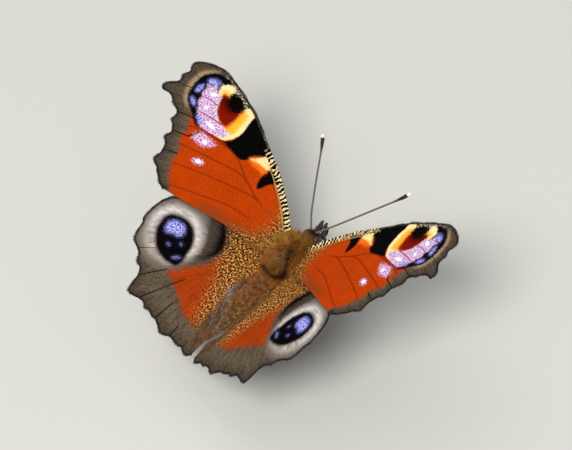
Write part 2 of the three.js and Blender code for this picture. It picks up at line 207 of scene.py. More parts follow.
def run_length(points):
    """How far along a line of points each of them is."""
    return np.concatenate([[0], np.cumsum(np.linalg.norm(np.diff(points, axis=0), axis=1))])


def read_at(where, at, table):
    """The rows of a table at places between those that its own rows are given at."""
    return np.stack([np.interp(where, at, column) for column in np.asarray(table).T], -1)


def rounded(p0, p1, p2, p3, f):
    """The smooth curve from p1 to p2 as f goes from 0 to 1, with p0 and p3 the points before and after."""
    return 0.5 * (2 * p1 + (p2 - p0) * f + (2 * p0 - 5 * p1 + 4 * p2 - p3) * f ** 2
                  + (3 * p1 - p0 - 3 * p2 + p3) * f ** 3)


def curve_through(points, samples):
    """Points spread evenly in parameter on a smooth curve through the given ones."""
    points = np.asarray(points, float)
    padded = np.concatenate([[2 * points[0] - points[1]], points, [2 * points[-1] - points[-2]]])
    where = np.linspace(0, len(points) - 1, samples)
    k = np.minimum(where.astype(int), len(points) - 2)
    return rounded(padded[k], padded[k + 1], padded[k + 2], padded[k + 3], (where - k)[:, None])


# %% [markdown]
# Most pieces start as a grid primitive, as a net that is pulled into shape. For a wing the net is pulled
# over the veins. For a body, leg or feeler it is rolled up, its two long edges meet and are merged, and
# each end is drawn together in a point. The grid's own map stays with it, as the unwrap of the surface.

# %% A grid pulled into shape
MERGE = 2e-7
END_SHARE = 1e-6


def moved(thing, place):
    """Moves each vertex to where place(points) says."""
    flat = np.zeros(len(thing.data.vertices) * 3)
    thing.data.vertices.foreach_get("co", flat)
    thing.data.vertices.foreach_set("co", place(flat.reshape(-1, 3)).astype(np.float32).ravel())
    thing.data.update()
    return thing


def pulled_grid(across, along, shape):
    """A grid primitive whose points go where shape(a, b) says. Gives a and b, from 0 to 1, as well."""
    shares = []

    def place(points):
        shares.extend(np.clip((points[:, :2].T + 1) / 2, 0, 1))
        return shape(*shares)

    bpy.ops.mesh.primitive_grid_add(x_subdivisions=across, y_subdivisions=along, size=2, calc_uvs=True)
    return moved(bpy.context.object, place), *shares


def merged(net):
    """Merges points that meet, turns the faces outward and shades them smooth."""
    bpy.ops.object.select_all(action="DESELECT")
    net.select_set(True)
    bpy.context.view_layer.objects.active = net
    bpy.ops.object.mode_set(mode="EDIT")
    bpy.ops.mesh.select_all(action="SELECT")
    bpy.ops.mesh.remove_doubles(threshold=MERGE)
    bpy.ops.mesh.normals_make_consistent(inside=False)
    bpy.ops.object.mode_set(mode="OBJECT")
    bpy.ops.object.shade_smooth()
    return net


def tube(path, radii, sides, along):
    """A rolled-up grid round a path in metres. radii are (share of the length, radius in mm) pairs."""
    path, radii = np.asarray(path), np.array(radii)
    shares = run_length(path)
    shares /= shares[-1]
    forward = unit(np.gradient(path, axis=0))
    side = np.zeros_like(forward)
    guide = np.array([0, 0, 1.0]) if abs(forward[0][2]) < 0.9 else np.array([1.0, 0, 0])
    for k, direction in enumerate(forward):
        guide = unit(guide - direction * (guide @ direction))
        side[k] = guide
    other = np.cross(forward, side)

    def shape(a, b):
        turn = (a * 2 * math.pi)[:, None]
        centre, one, two = (read_at(b, shares, table) for table in (path, side, other))
        radius = np.interp(b, radii[:, 0], radii[:, 1]) * MM
        open_part = (b > END_SHARE) & (b < 1 - END_SHARE)
        return centre + (radius * open_part)[:, None] * (unit(one) * np.cos(turn) + unit(two) * np.sin(turn))

    return merged(pulled_grid(sides, along, shape)[0])


print("helpers ready")

# %% [markdown]
# A butterfly's wing is a thin membrane on a fan of hollow veins. The fore and hind wing each lie near a
# plane that rises outward, u millimetres out and v forward of the hinge. The hind edge of the forewing is
# lifted and the front root of the hindwing lowered, so that the one lies over the other.

# %% Wing planes
FORE_DIHEDRAL = math.radians(24.2)
FORE_LIFT = 1.6
LIFT_BEHIND, LIFT_DEPTH = 2, 7.5
LIFT_GROWS, LIFT_WANES, LIFT_LOSS = (2.5, 11), (17, 26), 0.35
HIND_DIHEDRAL = math.radians(20.8)
HIND_NOSE_UP = math.radians(2.6)
HIND_RAISE = 1.9
HIND_DROP = 2.7
HIND_DROP_REACH = 7
HIND_DROP_CENTRE = (4, -1)
GUTTER_WITHIN = 2.4
GUTTER_SLOPE = 0.75
GUTTER_FRONT, GUTTER_REAR = (-4.5, -7), (-19.5, -16.5)


def ease(low, high, value):
    """0 at low, 1 at high, and a smooth step between."""
    f = np.clip((np.asarray(value, float) - low) / (high - low), 0, 1)
    return f * f * (3 - 2 * f)


def fore_place(side, u, v, rise):
    """A place on the forewing, rise mm above its plane. side is 1 on the left and -1 on the right."""
    behind = np.clip((LIFT_BEHIND - v) / LIFT_DEPTH, 0, 1)
    lift = FORE_LIFT * behind ** 0.8 * ease(*LIFT_GROWS, u) * (1 - LIFT_LOSS * ease(*LIFT_WANES, u))
    out = u * math.cos(FORE_DIHEDRAL) - rise * math.sin(FORE_DIHEDRAL)
    up = u * math.sin(FORE_DIHEDRAL) + rise * math.cos(FORE_DIHEDRAL) + lift
    return placed(side * out, v, up)


def hind_place(side, u, v, rise):
    """A place on the hindwing, whose inner edge bends down into a gutter for the abdomen."""
    away = (u - HIND_DROP_CENTRE[0]) ** 2 + (v - HIND_DROP_CENTRE[1]) ** 2
    drop = HIND_DROP * np.exp(-away / (2 * HIND_DROP_REACH ** 2))
    out = u * math.cos(HIND_DIHEDRAL) - rise * math.sin(HIND_DIHEDRAL)
    level = u * math.sin(HIND_DIHEDRAL) + rise * math.cos(HIND_DIHEDRAL)
    gutter = GUTTER_SLOPE * np.clip(GUTTER_WITHIN - u, 0, 2) * ease(*GUTTER_FRONT, v) * ease(*GUTTER_REAR, v)
    up = HIND_RAISE + level + v * math.sin(HIND_NOSE_UP) - drop - gutter
    return placed(side * out, v * math.cos(HIND_NOSE_UP), up)


print("wing planes ready")

# %% [markdown]
# A vein could be a tube of its own. Here it is a ray of knots, each given as a share of the way from root to
# margin, then u and v, and the net rises over it later. Veins that branch share the knots of their stem. The
# margin between two rays is a few points, for it bulges at each vein and dips between.

# %% Forewing veins
RADIUS = [[0, 3.0, 1.1], [0.2, 6.4, 4.1], [0.4, 11.0, 6.8], [0.5, 13.4, 8.0]]
RADIUS_FORK = RADIUS + [[0.62, 17.4, 10.0]]
CUBITUS = [[0, 3.2, 0.6], [0.2, 6.6, 1.95], [0.4, 10.6, 2.85]]
CUBITUS_FORK = CUBITUS + [[0.5, 14.3, 4.3]]
FORE = {
    "place": fore_place,
    "rays": [
        [[0, 2.6, 1.7], [0.1, 3.7, 3.45], [0.2, 5.6, 5.1], [0.5, 10.2, 8.25], [1, 16.4, 11.3]],
        [[0, 2.9, 1.4], [0.1, 4.3, 3.2], [0.2, 6.2, 4.7], [0.5, 12.4, 8.4], [1, 19.8, 12.95]],
        RADIUS + [[0.74, 18.4, 11.5], [1, 23.2, 14.0]],
        RADIUS_FORK + [[0.84, 22.8, 12.9], [1, 27.1, 14.85]],
        RADIUS_FORK + [[0.74, 20.6, 11.2], [0.92, 27.6, 13.5], [1, 30.7, 14.05]],
        RADIUS_FORK + [[0.74, 20.6, 11.2], [0.92, 28.6, 12.5], [1, 32.45, 12.35]],
        RADIUS_FORK + [[0.74, 20.9, 10.7], [0.92, 29.4, 10.9], [1, 32.5, 10.15]],
        RADIUS_FORK + [[0.74, 21.2, 10.35], [0.92, 28.8, 9.1], [1, 33.7, 7.15]],
        [[0, 3.1, 0.85], [0.2, 6.5, 3.0], [0.4, 10.8, 4.8], [0.62, 17.3, 8.1], [0.84, 24.6, 7.75],
         [1, 30.6, 5.7]],
        CUBITUS_FORK + [[0.62, 17.0, 5.95], [0.84, 23.4, 5.6], [1, 28.9, 3.55]],
        CUBITUS_FORK + [[0.62, 17.8, 3.45], [0.84, 23.3, 2.0], [1, 27.6, 0.65]],
        CUBITUS + [[0.62, 17.0, 0.8], [0.84, 22.5, -1.2], [1, 26.15, -3.0]],
        [[0, 3.3, 0.1], [0.2, 7.0, -0.25], [0.5, 12.4, -1.0], [0.84, 19.8, -4.15], [1, 22.7, -5.3]],
        [[0, 3.3, -1.6], [0.2, 6.4, -3.1], [0.5, 11.8, -4.0], [0.84, 18.2, -5.3], [1, 21.2, -5.75]],
    ],
    "margin": [
        [[18.1, 12.2]], [[21.6, 13.5]], [[25.1, 14.5]], [[28.2, 14.95], [29.3, 14.7], [30.1, 14.4]],
        [[31.3, 13.8], [31.95, 13.4], [32.3, 12.95]],
        [[32.3, 11.85], [32.05, 11.6], [32.0, 11.1], [32.3, 10.55]],
        [[32.25, 9.6], [32.15, 9.0], [32.7, 8.4], [33.3, 7.8]],
        [[33.75, 6.7], [33.3, 6.35], [32.3, 6.55], [31.4, 6.45], [31.0, 6.2]],
        [[30.0, 5.55], [29.3, 5.3], [28.8, 4.75], [28.85, 4.1]],
        [[28.1, 3.05], [27.75, 2.5], [27.35, 1.95], [27.6, 1.25]],
        [[26.9, 0.3], [26.45, -0.3], [26.25, -0.95], [26.0, -1.6], [26.15, -2.35]],
        [[25.4, -3.45], [24.7, -3.7], [24.3, -4.25], [23.3, -4.75]], [[21.9, -5.6]]],
    "vein_from": {8: 0.62},
    "no_vein": (13,),
    "right_folds": 0,
    "faint_folds": {5: 0.07, 11: 0.05},
    "folds": {5: 0.955, 6: 0.95, 7: 0.96, 8: 0.9, 9: 0.9, 10: 0.9, 11: 0.92, 12: 0.94},
}
print("forewing rays", len(FORE["rays"]))

# %% [markdown]
# The hindwing is shorter and rounder, with a small tail at one vein. Its last two rays carry no vein: they
# guide the inner edge, which bends down beside the abdomen.

# %% Hindwing veins
HIND_STEM = [[0, 3.0, -2.5], [0.2, 5.3, -3.6]]
HIND_RADIAL = HIND_STEM + [[0.4, 8.6, -5.9]]
HIND_CUBITUS = [[0, 2.9, -3.2], [0.2, 4.6, -6.2], [0.4, 5.9, -9.2]]
HIND = {
    "place": hind_place,
    "rays": [
        [[0, 3.2, -1.0], [0.2, 6.4, -1.6], [0.5, 11.0, -2.2], [1, 16.2, -3.6]],
        HIND_STEM + [[0.5, 11.5, -4.4], [1, 19.5, -5.6]],
        HIND_RADIAL + [[0.62, 13.0, -7.0], [1, 20.75, -10.0]],
        HIND_RADIAL + [[0.62, 12.3, -8.6], [1, 19.8, -14.1]],
        [[0, 2.95, -2.85], [0.2, 4.95, -4.9], [0.5, 8.9, -8.9], [1, 17.0, -16.5]],
        HIND_CUBITUS + [[0.5, 7.7, -11.0], [0.74, 10.8, -15.2], [1, 14.8, -21.1]],
        HIND_CUBITUS + [[0.5, 7.7, -11.0], [0.74, 9.4, -15.8], [1, 10.9, -21.4]],
        HIND_CUBITUS + [[0.62, 6.3, -14.0], [1, 6.6, -22.7]],
        [[0, 2.8, -3.7], [0.4, 3.7, -9.5], [0.74, 3.7, -16.5], [1, 3.4, -22.4]],
        [[0, 2.6, -4.5], [0.2, 2.6, -7.5], [0.5, 2.2, -13.0], [0.84, 0.9, -18.6], [1, 1.3, -22.75]],
        [[0, 2.2, -4.8], [0.2, 1.7, -7.6], [0.5, 1.2, -13.0], [0.84, 0.3, -18.4], [1, 0.5, -22.0]],
    ],
    "margin": [
        [[17.9, -4.5]], [[20.0, -6.4], [20.4, -7.2], [20.65, -8.4]],
        [[20.75, -10.9], [20.3, -11.6], [20.1, -12.9]], [[19.4, -14.6], [18.3, -15.05], [17.4, -15.6]],
        [[16.7, -16.95], [16.1, -16.85], [15.65, -17.3], [15.2, -18.3], [15.05, -20]],
        [[14.3, -21.15], [12.5, -20.8], [11.8, -20.7]],
        [[10.2, -21.15], [9.1, -21.65], [8.4, -21.6], [7.4, -22.1]],
        [[5.9, -22.6], [5.2, -22.2], [4.4, -22.1]], [[2.5, -22.2], [1.9, -22.55]], [[0.9, -22.6]]],
    "vein_from": {4: 0.5},
    "no_vein": (9, 10),
    "right_folds": 0.08,
    "faint_folds": {2: 0.1, 3: 0.04, 8: 0.05},
    "folds": {2: 0.9, 3: 0.86, 4: 0.78, 5: 0.66, 6: 0.82, 7: 0.9, 8: 0.93},
}
print("hindwing rays", len(HIND["rays"]))

# %% [markdown]
# The net of a wing has the same number of threads between each pair of veins, close together beside a vein,
# where the ridge rises, and wider in the middle. Its cross threads run from root to margin. Distances to the
# veins, folds and margin are measured here for each point of the net, and the finish reads them later.

# %% Wing net
THREADS = 12
ROWS = 120
SHARPER_AT_VEINS = 0.72
EVENER_AT_MARGIN, EVENER_FROM = 0.85, 0.8
RIM_FROM = 0.72
FAR_OFF = 1e9
EVERY = 3
ROUND_KNOTS = 0.05
FOLD_FADE = 30
NO_FOLD_MM = 9.0
ROOT_INWARD = 0.7
RIDGE = 0.13
RIDGE_WIDTH = 0.17
RIDGE_STARTS, RIDGE_THINS = 0.02, 0.6
WING_THICKNESS = 0.14
COSTA_GAPS = 6


def ray_table(wing, stations):
    """Each ray's place at each station, with the kinks at its knots rounded off."""
    table = np.zeros((len(stations), len(wing["rays"]), 2))
    reach = np.minimum(ROUND_KNOTS, np.minimum(stations, 1 - stations))
    shifts = (-1, -0.5, 0, 0.5, 1)
    for i, ray in enumerate(wing["rays"]):
        knots = np.array(ray)
        knots[0, 1] -= ROOT_INWARD
        for shift in shifts:
            table[:, i] += read_at(stations + shift * reach, knots[:, 0], knots[:, 1:]) / len(shifts)
    return table


def nearest(points, lines):
    """The distance from each point to the nearest of the lines, and how far along its own line that is."""
    best = np.full(len(points), FAR_OFF)
    arc = np.zeros(len(points))
    for line in lines:
        line = np.asarray(line, float)
        run = 0.0
        for start, stop in zip(line[:-1], line[1:]):
            span = stop - start
            length = max(math.hypot(*span), 1e-9)
            f = np.clip(((points - start) @ span) / length ** 2, 0, 1)
            away = np.hypot(*(points - start - f[:, None] * span).T)
            closer = away < best
            best[closer] = away[closer]
            arc[closer] = (run + f * length)[closer]
            run += length
    return best, arc


def wing_plan(wing):
    """The flat plan of a wing net, worked out once and used on both sides."""
    gaps = len(wing["rays"]) - 1
    columns = gaps * THREADS
    stations = np.linspace(0, 1, ROWS + 1)
    table = ray_table(wing, stations)
    plan = np.zeros((ROWS + 1, columns + 1, 2))
    crest = np.zeros((ROWS + 1, columns + 1))
    fold = np.full((ROWS + 1, columns + 1), NO_FOLD_MM)
    packing = SHARPER_AT_VEINS * (1 - EVENER_AT_MARGIN * ease(EVENER_FROM, 1, stations))
    to_margin = ease(RIM_FROM, 1, stations)[:, None] ** 2
    for j in range(columns + 1):
        gap = min(j // THREADS, gaps - 1)
        share = j / THREADS - gap
        f = share - packing * math.sin(2 * math.pi * share) / (2 * math.pi)
        here, there = table[:, gap], table[:, gap + 1]
        plan[:, j] = here + (there - here) * f[:, None]
        rim = np.concatenate([here[-1:], wing["margin"][gap], there[-1:]])
        arc = run_length(rim)
        plan[:, j] += (read_at(f[-1] * arc[-1], arc, rim) - plan[-1, j]) * to_margin
        wide = np.hypot(*(there - here).T)
        for ray, away in ((gap, wide * f), (gap + 1, wide * (1 - f))):
            if ray not in wing["no_vein"]:
                begins = wing["vein_from"].get(ray, -1)
                strength = ease(begins - RIDGE_STARTS, begins + RIDGE_STARTS, stations)
                strength = strength * (1 - RIDGE_THINS * stations)
                crest[:, j] = np.maximum(crest[:, j], strength * np.exp(-(away / RIDGE_WIDTH) ** 2))
        if gap in wing["folds"]:
            short = FOLD_FADE * np.clip(wing["folds"][gap] - stations, 0, 1)
            short = short + wing["faint_folds"].get(gap, 0)
            fold[:, j] = np.minimum(fold[:, j], np.abs(f - 0.5) * wide + short)
    veins = [table[stations >= wing["vein_from"].get(i, 0), i][::EVERY]
             for i in range(gaps + 1) if i not in wing["no_vein"]]
    flat = plan.reshape(-1, 2)
    measures = {"vein_mm": nearest(flat, veins)[0], "fold_mm": fold.ravel(),
                "margin_mm": nearest(flat, [plan[-1]])[0],
                "thread": np.tile(np.linspace(0, gaps, columns + 1), ROWS + 1),
                "station": np.repeat(stations, columns + 1)}
    costa = np.concatenate([plan[:, 0], plan[-1, :COSTA_GAPS * THREADS]])
    measures["costa_mm"], measures["costa_arc"] = nearest(flat, [costa])
    return {"flat": flat, "margin": plan[-1], "crest": crest.ravel(), "columns": columns,
            "measures": measures}


def plan_index(net, a, b):
    """Which point of the plan each point of a grid is."""
    return (np.rint(b * ROWS) * (net["columns"] + 1) + np.rint(a * net["columns"])).astype(int)


for wing in (FORE, HIND):
    wing["net"] = wing_plan(wing)
    print("net", wing["net"]["columns"], "by", ROWS)

# %% [markdown]
# The wings are painted as the scales paint them: in layers. A layer is one colour laid over what is below,
# in one or more outlines given in wing millimetres. For each point of the net the signed distance to the
# outline is stored, negative inside, and the finish turns it into an edge as soft and as ragged as the
# scales leave it.

# %% Outlines of the markings
OUTLINE_STEPS = 7
FARTHEST_MM = 9


def outline(points):
    """A smooth closed outline through a few points."""
    points = np.asarray(points, float)
    where = np.arange(len(points) * OUTLINE_STEPS) / OUTLINE_STEPS
    k = where.astype(int)
    return rounded(*(points[(k + shift) % len(points)] for shift in (-1, 0, 1, 2)), (where - k)[:, None])


def oval(u, v, half_u, half_v, turn=0):
    """Corner points of an oval marking, turned by some degrees."""
    angles = np.arange(8) * math.pi / 4
    c, s = math.cos(math.radians(turn)), math.sin(math.radians(turn))
    x, y = half_u * np.cos(angles), half_v * np.sin(angles)
    return np.stack([u + x * c - y * s, v + x * s + y * c], -1)


def signed_distance(points, shapes):
    """The distance to the nearest outline, negative inside any of them."""
    best = np.full(len(points), FAR_OFF)
    for shape in shapes:
        ring = outline(shape)
        closed = np.concatenate([ring, ring[:1]])
        away, _ = nearest(points, [closed])
        inside = np.zeros(len(points), bool)
        for (x0, y0), (x1, y1) in zip(closed[:-1], closed[1:]):
            if y0 != y1:
                at = x0 + (points[:, 1] - y0) / (y1 - y0) * (x1 - x0)
                inside ^= ((y0 > points[:, 1]) != (y1 > points[:, 1])) & (points[:, 0] < at)
        best = np.minimum(best, np.where(inside, -away, away))
    return np.clip(best, -FARTHEST_MM, FARTHEST_MM)


print("outlines ready")

# %% [markdown]
# The layers are listed from the lowest up. Each is its name, its colour or none if it is speckled, how
# soft and how ragged its edge is in mm, and its outlines. On the forewing a black patch, a cream and
# yellow bar and the eyespot, with its red core and lilac rim, follow each other outward, with five white
# dots behind them.

# %% Markings of the forewing, upper side
FORE_TOP = [
    ("dusk", "#8C3A12", 1.0, 0.6, [[[3, -1.6], [9, -2.2], [14, -2.9], [16, -4.2], [12, -4.4], [3, -4.2]]]),
    ("brown", "#4A3E2F", 0.35, 0.7, [[
        [30.6, 15.5], [34.5, 14], [35.5, 6], [30, 2], [28, -4], [23, -7.5], [19.5, -6.6], [20.6, -5.1],
        [22, -4], [23.1, -2.6], [24.1, -1.1], [24.2, 0.3], [25.1, 1.3], [25.8, 2.5], [25.9, 4], [26.6, 5.2],
        [27.6, 6.9], [28.7, 8.2], [29.2, 9.4], [29.2, 12], [28, 13.4], [25.3, 14.1], [26, 15.6]]]),
    ("gold", None, 1.6, 1.0, [[
        [1, 3.5], [3.6, 3.1], [5.2, 4.0], [6.0, 4.2], [5.8, 3.2], [5.4, 2.0], [5.5, 0.5], [5.6, -0.9],
        [7.4, -2.6], [9.6, -4.2], [6, -6], [1, -5]]]),
    ("tan", "#9A8062", 0.35, 0.3, [[
        [28.4, 14.3], [29.6, 13.6], [30.6, 12.4], [30.9, 10.9], [30.8, 9.3], [30.2, 7.9], [29.2, 6.9],
        [28.3, 6.7], [29.7, 8.6], [30.1, 10.6], [29.8, 12.2], [29.0, 13.3]]]),
    ("patch", "#040303", 0.12, 0.16, [
        [[13.5, 9.1], [13.7, 10.8], [16.4, 12.4], [19.4, 14.0], [19.6, 12.2], [19.25, 10.8], [19.0, 9.5],
         [19.1, 8.3], [19.45, 7.2], [20.1, 6.5], [21.0, 5.95], [18.9, 5.98], [16.9, 5.75], [16.1, 5.95],
         [15.2, 6.8], [14.3, 7.9]],
        [[9.7, 6.75], [11.0, 7.75], [11.85, 7.95], [12.0, 6.4], [11.9, 5.2], [11.6, 4.4], [11.2, 3.95],
         [10.8, 4.6], [10.4, 5.5]]]),
    ("ember", "#E86A0C", 0.4, 0.35, [[[12, 7.9], [13.9, 8.3], [15.4, 6.9], [14.4, 6.4], [13.2, 6.4],
        [12.1, 6.3]]]),
    ("costal_cream", "#F0D594", 0.25, 0.25, [[
        [11.9, 8.0], [12.1, 9.6], [13.4, 10.4], [13.75, 9.4], [13.6, 8.9], [14.5, 7.6], [15.2, 6.95],
        [14.1, 7.2], [13.2, 7.3], [12.0, 7.35]]]),
    ("cream", "#F3DA9A", 0.12, 0.14, [[
        [19.55, 13.4], [19.25, 11], [19.05, 9.5], [19.2, 8.2], [19.8, 7.1], [20.8, 6.25], [23.5, 6.2],
        [25, 9], [26.6, 11.4], [27.3, 12.7], [26.3, 13.7], [24.2, 14.2], [21.6, 13.9]]]),
    ("yellow", "#F2AE2C", 0.45, 0.3, [[
        [20.5, 11.9], [20.0, 11.0], [19.9, 9.6], [20.2, 7.8], [23, 7.8], [25.3, 11.4], [25.9, 12.3],
        [25.2, 12.7], [24.4, 12.5], [23, 12.2]]]),
    ("orange", "#D9661A", 0.35, 0.3, [[
        [21.4, 12.0], [21.1, 10.5], [21.15, 9], [21.5, 8.0], [23, 8], [25.3, 11.2], [25.4, 11.9], [25, 12.2],
        [23.5, 11.8]]]),
    ("core", "#760F02", 0.25, 0.35, [[
        [21.7, 11.8], [21.4, 10.2], [21.55, 8.9], [21.9, 8.15], [23.2, 8.3], [24.5, 9.1], [25.1, 10.3],
        [25.6, 11.2], [25.1, 12.0], [23.5, 12]]]),
    ("core_shade", "#2A0502", 0.8, 0.3, [[[21.6, 12.3], [21.8, 11.0], [22.9, 10.3], [24.2, 10.6],
        [25.2, 11.6]]]),
    ("pupil", "#050202", 0.2, 0.5, [[
        [24.2, 11.6], [24.6, 12.4], [24.3, 13.4], [22.9, 13.7], [21.9, 13.3], [21.35, 12.4], [21.5, 11.5],
        [22.0, 10.95], [23.0, 10.8]]]),
    ("costal_specks", None, 0.2, 0.4, [[
        [19.3, 12.5], [20.6, 12.9], [21.3, 12.4], [22.0, 12.8], [22.6, 13.3], [24.0, 13.3], [25.0, 13.9],
        [26.3, 14.0], [27.4, 14.3], [27.4, 15.4], [23, 14.8], [19.3, 13.8]]]),
    ("ring", "#050308", 0.16, 0.4, [
        [[25.2, 14.1], [26.9, 14.25], [28.2, 14.0], [29.2, 13.25], [30.0, 12.1], [30.15, 10.6], [29.9, 8.8],
         [29.3, 7.6], [27.9, 6.8], [26.4, 5.75], [25.0, 5.25], [24.4, 6.4], [24.6, 9], [26.5, 12.2],
         [26.2, 13.4]]]),
    ("lilac", None, 0.2, 0.6, [[
        [20.9, 7.75], [22.5, 8.0], [23.5, 8.4], [24.5, 9.2], [25.1, 10.4], [25.6, 11.4], [26.5, 11.6],
        [27.0, 12.4], [27.8, 12.9], [28.6, 12.4], [28.5, 11.3], [28.2, 10], [27.9, 9.1], [27.6, 8.0],
        [26.8, 7.2], [25.9, 6.2], [24.6, 5.6], [23, 5.7], [21.4, 6.25], [20.5, 7.0]]]),
    ("violet", None, 0.2, 0.8, [
        [[26.8, 13.0], [27.9, 13.15], [28.8, 12.6], [28.9, 11.9], [28.2, 11.7], [27.2, 12.3]],
        oval(29.0, 10.25, 0.5, 0.95, 8), oval(28.4, 8.0, 0.95, 0.42, 30), oval(25.8, 6.4, 0.85, 0.36, 32)]),
    ("blots", "#0A0810", 0.15, 0.3, [
        oval(28.45, 10.9, 0.22, 0.5), oval(28.2, 9.3, 0.34, 0.4), oval(27.5, 7.9, 0.2, 0.5, -55),
        oval(27.1, 7.0, 0.3, 0.16, 35), oval(27.4, 12.8, 0.5, 0.12, 40)]),
    ("red_lines", "#8E1A08", 0.09, 0.08, [
        [[24.8, 10.05], [26.6, 9.9], [28.2, 9.45], [28.2, 9.3], [26.6, 9.75], [24.8, 9.9]],
        [[22.4, 8.15], [24.5, 7.85], [26.8, 7.4], [26.8, 7.22], [24.5, 7.65], [22.4, 7.98]],
        [[19.9, 6.3], [22.5, 5.85], [24.9, 5.45], [24.9, 5.2], [22.5, 5.6], [19.9, 6.05]]]),
    ("clouds", None, 0.22, 0.5, [
        [[20.8, 5.0], [22.2, 5.2], [24.0, 5.1], [24.7, 4.2], [24.6, 3.5], [23.2, 3.3], [22.2, 3.5],
        [21.3, 4.2]],
        oval(20.95, 1.15, 0.95, 0.55, -20)]),
    ("cloud_shade", "#160A06", 0.12, 0.25, [oval(24.75, 3.75, 0.75, 0.17, -53), oval(24.3, 4.8, 0.25, 0.2)]),
    ("white", "#F5F4FC", 0.14, 0.12, [
        oval(26.6, 10.9, 0.6, 0.3, -41), oval(26.1, 8.55, 0.42, 0.26, -41), oval(23.6, 6.8, 0.9, 0.3),
        oval(22.45, 4.2, 0.48, 0.36), oval(20.9, 1.2, 0.52, 0.34, -15)]),
]
print("forewing layers", len(FORE_TOP))

# %% [markdown]
# The hindwing's eyespot is a black disc with violet scales in a broad pale ring, and a black crescent lies
# on its inner side. Brown, gold and a grey brown inner margin fill the rest round the red field.

# %% Markings of the hindwing, upper side
HIND_TOP = [
    ("brown", "#463A2B", 0.6, 1.0, [[
        [8.5, -1.5], [8.6, -9.4], [10.2, -11.9], [11.9, -14.6], [10.8, -15.5], [9.1, -16.3], [7.4, -17.4],
        [5.8, -18.1], [3.2, -18.5], [2.4, -16], [2.0, -8], [0.5, -4], [-1, -10], [-1, -24], [8, -25],
        [16, -24], [22, -16], [23, -6], [18, -2]]]),
    ("gold", None, 1.6, 1.0, [
        [[1.6, -1], [8.6, -2.0], [10.2, -3.4], [9.5, -4.8], [8.7, -6.2], [7.8, -8.2], [6.6, -10.2],
         [5.5, -12.4], [4.7, -14.8], [3.9, -17.4], [2.4, -18.0], [2.2, -14], [2.3, -8], [2, -4]]]),
    ("inner", "#6A4A30", 0.45, 0.5, [[
        [0.5, -4.5], [2.6, -6.3], [3.3, -8.6], [3.2, -11], [2.8, -13.4], [2.6, -15.6], [2.3, -18],
        [1.5, -20], [-1, -20.5], [-1, -5]]]),
    ("crescent", "#080605", 0.4, 0.35, [[
        [13.6, -2.6], [13.2, -3.9], [12.0, -5.3], [11.1, -6.6], [10.6, -8.2], [10.5, -9.7], [9.6, -10.0],
        [8.9, -8.6], [8.6, -7.2], [9.0, -5.6], [10.0, -4.3], [10.9, -3.4], [11.6, -2.2]]]),
    ("grey", "#7A6F62", 1.1, 0.3, [[
        [13.5, -4.2], [16, -4.0], [19.3, -5.6], [20.8, -8.5], [20.6, -11.5], [19.4, -13.9], [16.8, -15.4],
        [14.0, -15.2], [12.3, -14.2], [11.3, -12.2], [11.0, -9.6], [11.6, -7.0]]]),
    ("hollow", "#443930", 0.7, 0.5, [[
        [13.4, -3.2], [12.8, -5.0], [11.6, -6.6], [11.0, -8.4], [10.9, -10.0], [10.1, -10.4], [9.6, -9.6],
        [9.9, -7.2], [11.0, -4.8], [12.2, -3.2]]]),
    ("pale", "#B4AAA0", 0.6, 0.5, [[
        [16.1, -5.35], [18.4, -6.0], [19.7, -7.8], [20.0, -9.8], [19.5, -11.7], [18.3, -13.4], [16.6, -14.4],
        [14.6, -14.4], [13.2, -14.1], [12.0, -13.2], [11.1, -11.2], [11.0, -9.2], [11.6, -7.6], [12.7, -6.2],
        [14.2, -5.4]]]),
    ("bright", "#E6DFDA", 0.5, 0.5, [[
        [16.6, -5.9], [14.9, -5.7], [13.2, -6.6], [12.0, -8.0], [11.45, -9.6], [11.6, -10.9], [11.95, -9.9],
        [12.6, -8.3], [13.9, -6.9], [15.4, -6.4], [17.4, -6.9], [18.7, -8.4], [19.1, -9.9], [18.7, -11.6],
        [19.4, -10.4], [19.5, -8.8], [18.6, -6.9]]]),
    ("shade_ring", "#3A2F27", 0.35, 0.15, [[
        [17.7, -7.5], [16.0, -6.85], [14.4, -6.95], [13.0, -7.9], [12.0, -9.6], [11.8, -10.8], [11.4, -12.4],
        [11.8, -13.5], [12.9, -13.8], [14.1, -13.9], [15.9, -13.4], [17.2, -12.3], [18.1, -11], [18.4, -9.7],
        [18.4, -8.5]]]),
    ("disc", "#040304", 0.14, 0.2, [[
        [17.5, -7.75], [15.95, -7.1], [14.45, -7.2], [13.2, -8.15], [12.3, -9.6], [12.1, -10.75],
        [11.75, -12.2], [11.95, -13.3], [12.9, -13.5], [14.05, -13.6], [15.8, -13.1], [17.0, -12.05],
        [17.85, -10.9], [18.1, -9.7], [18.1, -8.6]]]),
    ("violet", None, 0.3, 1.1, [
        [[15.2, -7.7], [16.6, -7.9], [17.4, -8.7], [17.3, -9.9], [16.6, -10.5], [15.6, -10.0], [14.9, -9.9],
         [14.3, -9.3], [14.5, -8.3]],
        oval(13.6, -10.3, 0.2, 0.2), oval(15.0, -11.6, 0.28, 0.16, 10), oval(12.7, -12.4, 0.6, 0.18, -40)]),
]
print("hindwing layers", len(HIND_TOP))

# %% [markdown]
# The underside is what hides a resting butterfly: nearly black brown, crossed from front to back by fine
# wavy lines, with a darker band across the middle, paler shores to it, and a small pale dot on the
# hindwing.

